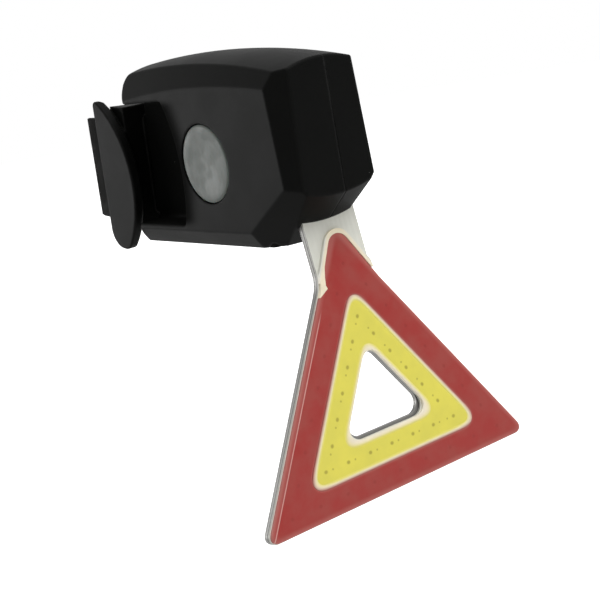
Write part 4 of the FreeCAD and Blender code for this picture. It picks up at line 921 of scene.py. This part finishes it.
class TAILLIGHT_OT_fills(bpy.types.Operator):
    """Makes the red and yellow fills, crowned and rounded at their edges"""
    bl_idname = "taillight.fills"
    bl_label = "Gel fills"

    def execute(self, context):
        colours = context.scene.taillight_colours
        sizes = context.scene.taillight_sizes
        apex, foot, _ = inside((0, BOARD_DEPTH, BOARD_CORNER), GEL_EDGE)
        half = (foot - apex) * SIDE_SLOPE
        across, deep = TIP_SHOULDER
        outline = [(0, TIP_APEX), (-across, -deep), (-half, -foot), (half, -foot), (across, -deep)]
        radii = (TIP_ROUND, 0, BOARD_CORNER, BOARD_CORNER, 0)
        red = between(outline, radii, *triangle(RING))
        raised(red, crowned(CROWN, sizes.gel_rise))
        finish_piece(
            red, "red_fill",
            paint_gel("red gel", colours.red, colours.red_cloud, colours.red_edge, colours.red_dot,
                      RED_ROWS, sizes.dot_radius, strength=0.35, rim=(apex, foot)),
            ON_BOARD, nodes=("red_gel",))
        yellow = between(*triangle(inside(RING, DAM_WIDTH)), *triangle(RING_IN))
        raised(yellow, crowned(FLAT_CROWN, sizes.gel_rise))
        finish_piece(
            yellow, "yellow_fill",
            paint_gel("yellow gel", colours.yellow, colours.yellow_cloud, colours.yellow_edge,
                      colours.dot, YELLOW_ROWS, sizes.dot_radius, strength=0.85,
                      shifts=YELLOW_SMALL_SHIFT),
            ON_BOARD, nodes=("yellow_gel",))
        return {"FINISHED"}


class TAILLIGHT_OT_dams(bpy.types.Operator):
    """Makes the cream lines round the fills as rounded beads"""
    bl_idname = "taillight.dams"
    bl_label = "Cream lines"

    def execute(self, context):
        sizes = context.scene.taillight_sizes
        colours = context.scene.taillight_colours
        outer = between(*triangle(RING), *triangle(inside(RING, DAM_WIDTH)))
        raised(outer, crowned(BEAD, sizes.dam_rise))
        line = paint_cream(
            "outer cream", colours, RING[0], RING[1], SIDE_SLOPE, (colours.red, -0.15, 0.6),
            (colours.yellow, DAM_WIDTH + 0.05, DAM_WIDTH - 0.65))
        finish_piece(outer, "outer_line", line, ON_BOARD, nodes=("outer_dam",))
        inner = between(*triangle(RING_IN), *triangle(HOLE))
        raised(inner, crowned(BEAD, sizes.dam_rise))
        line = paint_cream(
            "inner cream", colours, RING_IN[0], RING_IN[1], SIDE_SLOPE, (colours.yellow, -0.1, 0.7),
            (colours.mask, 1.5, 0.5))
        finish_piece(inner, "inner_line", line, ON_BOARD, nodes=("inner_dam",))
        across, deep = TIP_SHOULDER
        slope = across / (deep + TIP_APEX)
        repaint("tip_dam", paint_cream(
            "tip cream", colours, -TIP_APEX, BOARD_DEPTH, slope, (colours.mask, -0.9, -0.2)))
        return {"FINISHED"}


class TAILLIGHT_OT_button(bpy.types.Operator):
    """Spins the frosted button cap with its dish, rim, flange and post"""
    bl_idname = "taillight.button"
    bl_label = "Power button"

    def execute(self, context):
        sizes = context.scene.taillight_sizes
        low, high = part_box("button_cap")
        tail = high.x / MM - low.x / MM
        bm = bmesh.new()
        line = [(sizes.button_dish * share, radius) for share, radius in BUTTON_DISH]
        line += BUTTON_RIM
        line += [
            (FLANGE_TOP - FLANGE_FILLET, BUTTON_RADIUS), (FLANGE_TOP, BUTTON_RADIUS + FLANGE_FILLET),
            (FLANGE_TOP, FLANGE_RADIUS), (FLANGE_BACK, FLANGE_RADIUS), (FLANGE_BACK, PLUNGER_RADIUS),
            (tail - PLUNGER_CHAMFER, PLUNGER_RADIUS), (tail, PLUNGER_RADIUS - PLUNGER_CHAMFER), (tail, 0.0),
        ]
        verts = [bm.verts.new((x, r, 0)) for x, r in line]
        edges = [bm.edges.new(pair) for pair in zip(verts, verts[1:])]
        bmesh.ops.spin(
            bm, geom=verts + edges, cent=(0, 0, 0), axis=(1, 0, 0), angle=2 * math.pi, steps=72,
            use_merge=True)
        place = Matrix.Translation((low.x, BUTTON_START.y, BUTTON_START.z)) @ Matrix.Scale(MM, 4)
        finish_piece(
            bm, "frosted_button", paint_button(context.scene.taillight_colours), place,
            body="power_button", nodes=("button_cap",), smooth=30)
        return {"FINISHED"}


class TAILLIGHT_OT_pad(bpy.types.Operator):
    """Spins the ribbed rubber pad round the seat post's axis"""
    bl_idname = "taillight.pad"
    bl_label = "Seat-post pad"

    def execute(self, context):
        sizes = context.scene.taillight_sizes
        rubber = paint_rubber(context.scene.taillight_colours)
        bm = bmesh.new()
        crest = POST_RADIUS
        groove = POST_RADIUS + sizes.rib_depth
        back = PAD_BACK
        half = PAD_HEIGHT / 2
        ribs = round(PAD_HEIGHT / sizes.rib_pitch)
        pitch = PAD_HEIGHT / ribs
        rising = list(zip((groove, crest + RIB_ROUND, crest), RIB_FLANK))
        rib = rising + [(r, 1 - share) for r, share in reversed(rising)]
        line = [(r, pitch * (i + share) - half) for i in range(ribs) for r, share in rib]
        upper = [
            (groove + PAD_ENTRY, half), (back - PAD_EDGE, half),
            (back - PAD_EDGE_MIDDLE, half - PAD_EDGE_MIDDLE), (back, half - PAD_EDGE)]
        line += upper + [(r, -t) for r, t in reversed(upper)]
        turn = math.asin(PAD_HALF / POST_RADIUS) + PAD_OVERRUN
        verts = [bm.verts.new((-r * math.sin(turn), -r * math.cos(turn), t)) for r, t in line]
        edges = [bm.edges.new(pair) for pair in zip(verts, verts[1:] + verts[:1])]
        bmesh.ops.spin(
            bm, geom=verts + edges, cent=(0, 0, 0), axis=(0, 0, 1), angle=2 * turn, steps=40)
        for vert in bm.verts:
            radius = vert.co.xy.length
            if abs(vert.co.x) > RIB_HALF and radius < groove + PAD_ENTRY / 2:
                vert.co.xy *= (crest + PAD_LAND) / radius
        for side in (-1, 1):
            bmesh.ops.bisect_plane(
                bm, geom=bm.verts[:] + bm.edges[:] + bm.faces[:], dist=1e-5,
                plane_co=(side * PAD_HALF, 0, 0), plane_no=(side, 0, 0), clear_outer=True)
        rims = [edge for edge in bm.edges if edge.is_boundary]
        bmesh.ops.holes_fill(bm, edges=rims, sides=0)
        finish_piece(
            bm, "ribbed_pad", rubber, ON_POST, nodes=("post_pad",), smooth=40)
        for node in ("case_seal", "stem_seal", "button_seal", "charging_flap"):
            repaint(node, rubber)
        return {"FINISHED"}


class TAILLIGHT_OT_screws(bpy.types.Operator):
    """Makes the case screws with six-sided sockets"""
    bl_idname = "taillight.screws"
    bl_label = "Case screws"

    def execute(self, context):
        steel = paint_plain(
            "screw steel", (0.3, 0.3, 0.31), rough=0.32, metal=0.9, grain_size=0.1, depth=0.006)
        bm = bmesh.new()
        for y, z in SCREW_SPOTS:
            add_screw(bm, y, z, context.scene.taillight_sizes.socket_flats)
        finish_piece(
            bm, "socket_screws", steel, ON_CASE, nodes=("case_screws",))
        for node in ("board_screws", "switch_frame", "switch_dome", "charging_socket", "flap_pin"):
            repaint(node, steel)
        return {"FINISHED"}


def add_screw(bm, y, z, flats):
    """One screw along x: a spun head and shank round a six-sided socket."""
    line = [
        (SCREW_TIP, 0.0), (SCREW_TIP, SCREW_RADIUS - SCREW_POINT), (SCREW_TIP + SCREW_POINT, SCREW_RADIUS),
        (SCREW_SEAT, SCREW_RADIUS), (SCREW_SEAT, SCREW_HEAD_RADIUS)]
    line += [(SCREW_TOP - drop, SCREW_HEAD_RADIUS - inset) for drop, inset in SCREW_CROWN]
    line.append((SCREW_TOP, SCREW_RIM))
    verts = [bm.verts.new((x, y + r, z)) for x, r in line]
    edges = [bm.edges.new(pair) for pair in zip(verts, verts[1:])]
    bmesh.ops.spin(
        bm, geom=verts + edges, cent=(0, y, z), axis=(1, 0, 0), angle=2 * math.pi, steps=24,
        use_merge=True)
    place = Matrix.Translation((SCREW_TOP - SOCKET_CHAMFER, y, z)) @ Matrix.Rotation(math.pi / 2, 4, "Y")
    made = bmesh.ops.create_circle(
        bm, cap_ends=True, segments=6, radius=flats / math.sqrt(3), matrix=place)
    lid = made["verts"][0].link_faces[0]
    ring = list(lid.edges)
    bmesh.ops.delete(bm, geom=[lid], context="FACES_ONLY")
    outer = [edge for edge in bm.edges if edge.is_boundary and all(
        abs(v.co.x - SCREW_TOP) < 1e-3 and abs((v.co.yz - Vector((y, z))).length - SCREW_RIM) < 1e-3
        for v in edge.verts)]
    bmesh.ops.bridge_loops(bm, edges=outer + ring)
    down = bmesh.ops.extrude_edge_only(bm, edges=ring)
    deep = [item for item in down["geom"] if isinstance(item, bmesh.types.BMVert)]
    bmesh.ops.translate(bm, verts=deep, vec=(-SOCKET_DEEP, 0, 0))
    bmesh.ops.contextual_create(
        bm, geom=[item for item in down["geom"] if isinstance(item, bmesh.types.BMEdge)
                  and all(v in deep for v in item.verts)])


class TAILLIGHT_OT_inside(bpy.types.Operator):
    """Finishes the electronics, the cell and the leads inside the case"""
    bl_idname = "taillight.inside"
    bl_label = "Inner pieces"

    def execute(self, context):
        green = paint_board_green()
        for node in ("circuit_board", "cell_board"):
            repaint(node, green)
        black = paint_plain("chip black", (0.014, 0.014, 0.015), rough=0.5, grain_size=0.12, contrast=1.5)
        for node in ("controller_chip", "charger_chip", "driver_coil", "switch_plunger", "socket_tongue"):
            repaint(node, black)
        repaint("small_parts", paint_plain("chip brown", (0.2, 0.12, 0.06), rough=0.5, grain_size=0.4))
        repaint("cell", paint_foil())
        repaint("cell_foam", paint_plain(
            "foam black", (0.015, 0.015, 0.015), rough=0.9, grain_size=0.5, depth=0.2, contrast=2.0))
        lead = paint_plain("wire red", (0.4, 0.012, 0.01), rough=0.45, grain_size=0.6)
        for node in ("lamp_wires", "cell_wires"):
            repaint(node, lead)
        return {"FINISHED"}


class TAILLIGHT_PT_pieces(bpy.types.Panel):
    """Lists the pieces, with their sizes and colours"""
    bl_idname = "TAILLIGHT_PT_pieces"
    bl_label = "Bike tail light"
    bl_space_type = "VIEW_3D"
    bl_region_type = "UI"
    bl_category = "Tail light"

    def draw(self, context):
        for group in (context.scene.taillight_sizes, context.scene.taillight_colours):
            column = self.layout.column(align=True)
            for name in type(group).__annotations__:
                column.prop(group, name)
        for operator in OPERATORS:
            self.layout.operator(operator.bl_idname)


OPERATORS = (
    TAILLIGHT_OT_stage, TAILLIGHT_OT_case, TAILLIGHT_OT_board, TAILLIGHT_OT_fills,
    TAILLIGHT_OT_dams, TAILLIGHT_OT_button, TAILLIGHT_OT_pad, TAILLIGHT_OT_screws,
    TAILLIGHT_OT_inside,
)
CLASSES = (TailLightSizes, TailLightColours, *OPERATORS, TAILLIGHT_PT_pieces)


def register():
    for made in CLASSES:
        bpy.utils.register_class(made)
    bpy.types.Scene.taillight_sizes = bpy.props.PointerProperty(type=TailLightSizes)
    bpy.types.Scene.taillight_colours = bpy.props.PointerProperty(type=TailLightColours)


def unregister():
    del bpy.types.Scene.taillight_colours
    del bpy.types.Scene.taillight_sizes
    for made in reversed(CLASSES):
        bpy.utils.unregister_class(made)


def main():
    """Builds every piece and the stage."""
    register()
    for build in (build_grain, build_specks, build_edge_wear, build_light_row, build_layer, build_reach):
        build()
    for operator in OPERATORS:
        group, name = operator.bl_idname.split(".")
        getattr(getattr(bpy.ops, group), name)()


if __name__ == "__main__":
    main()
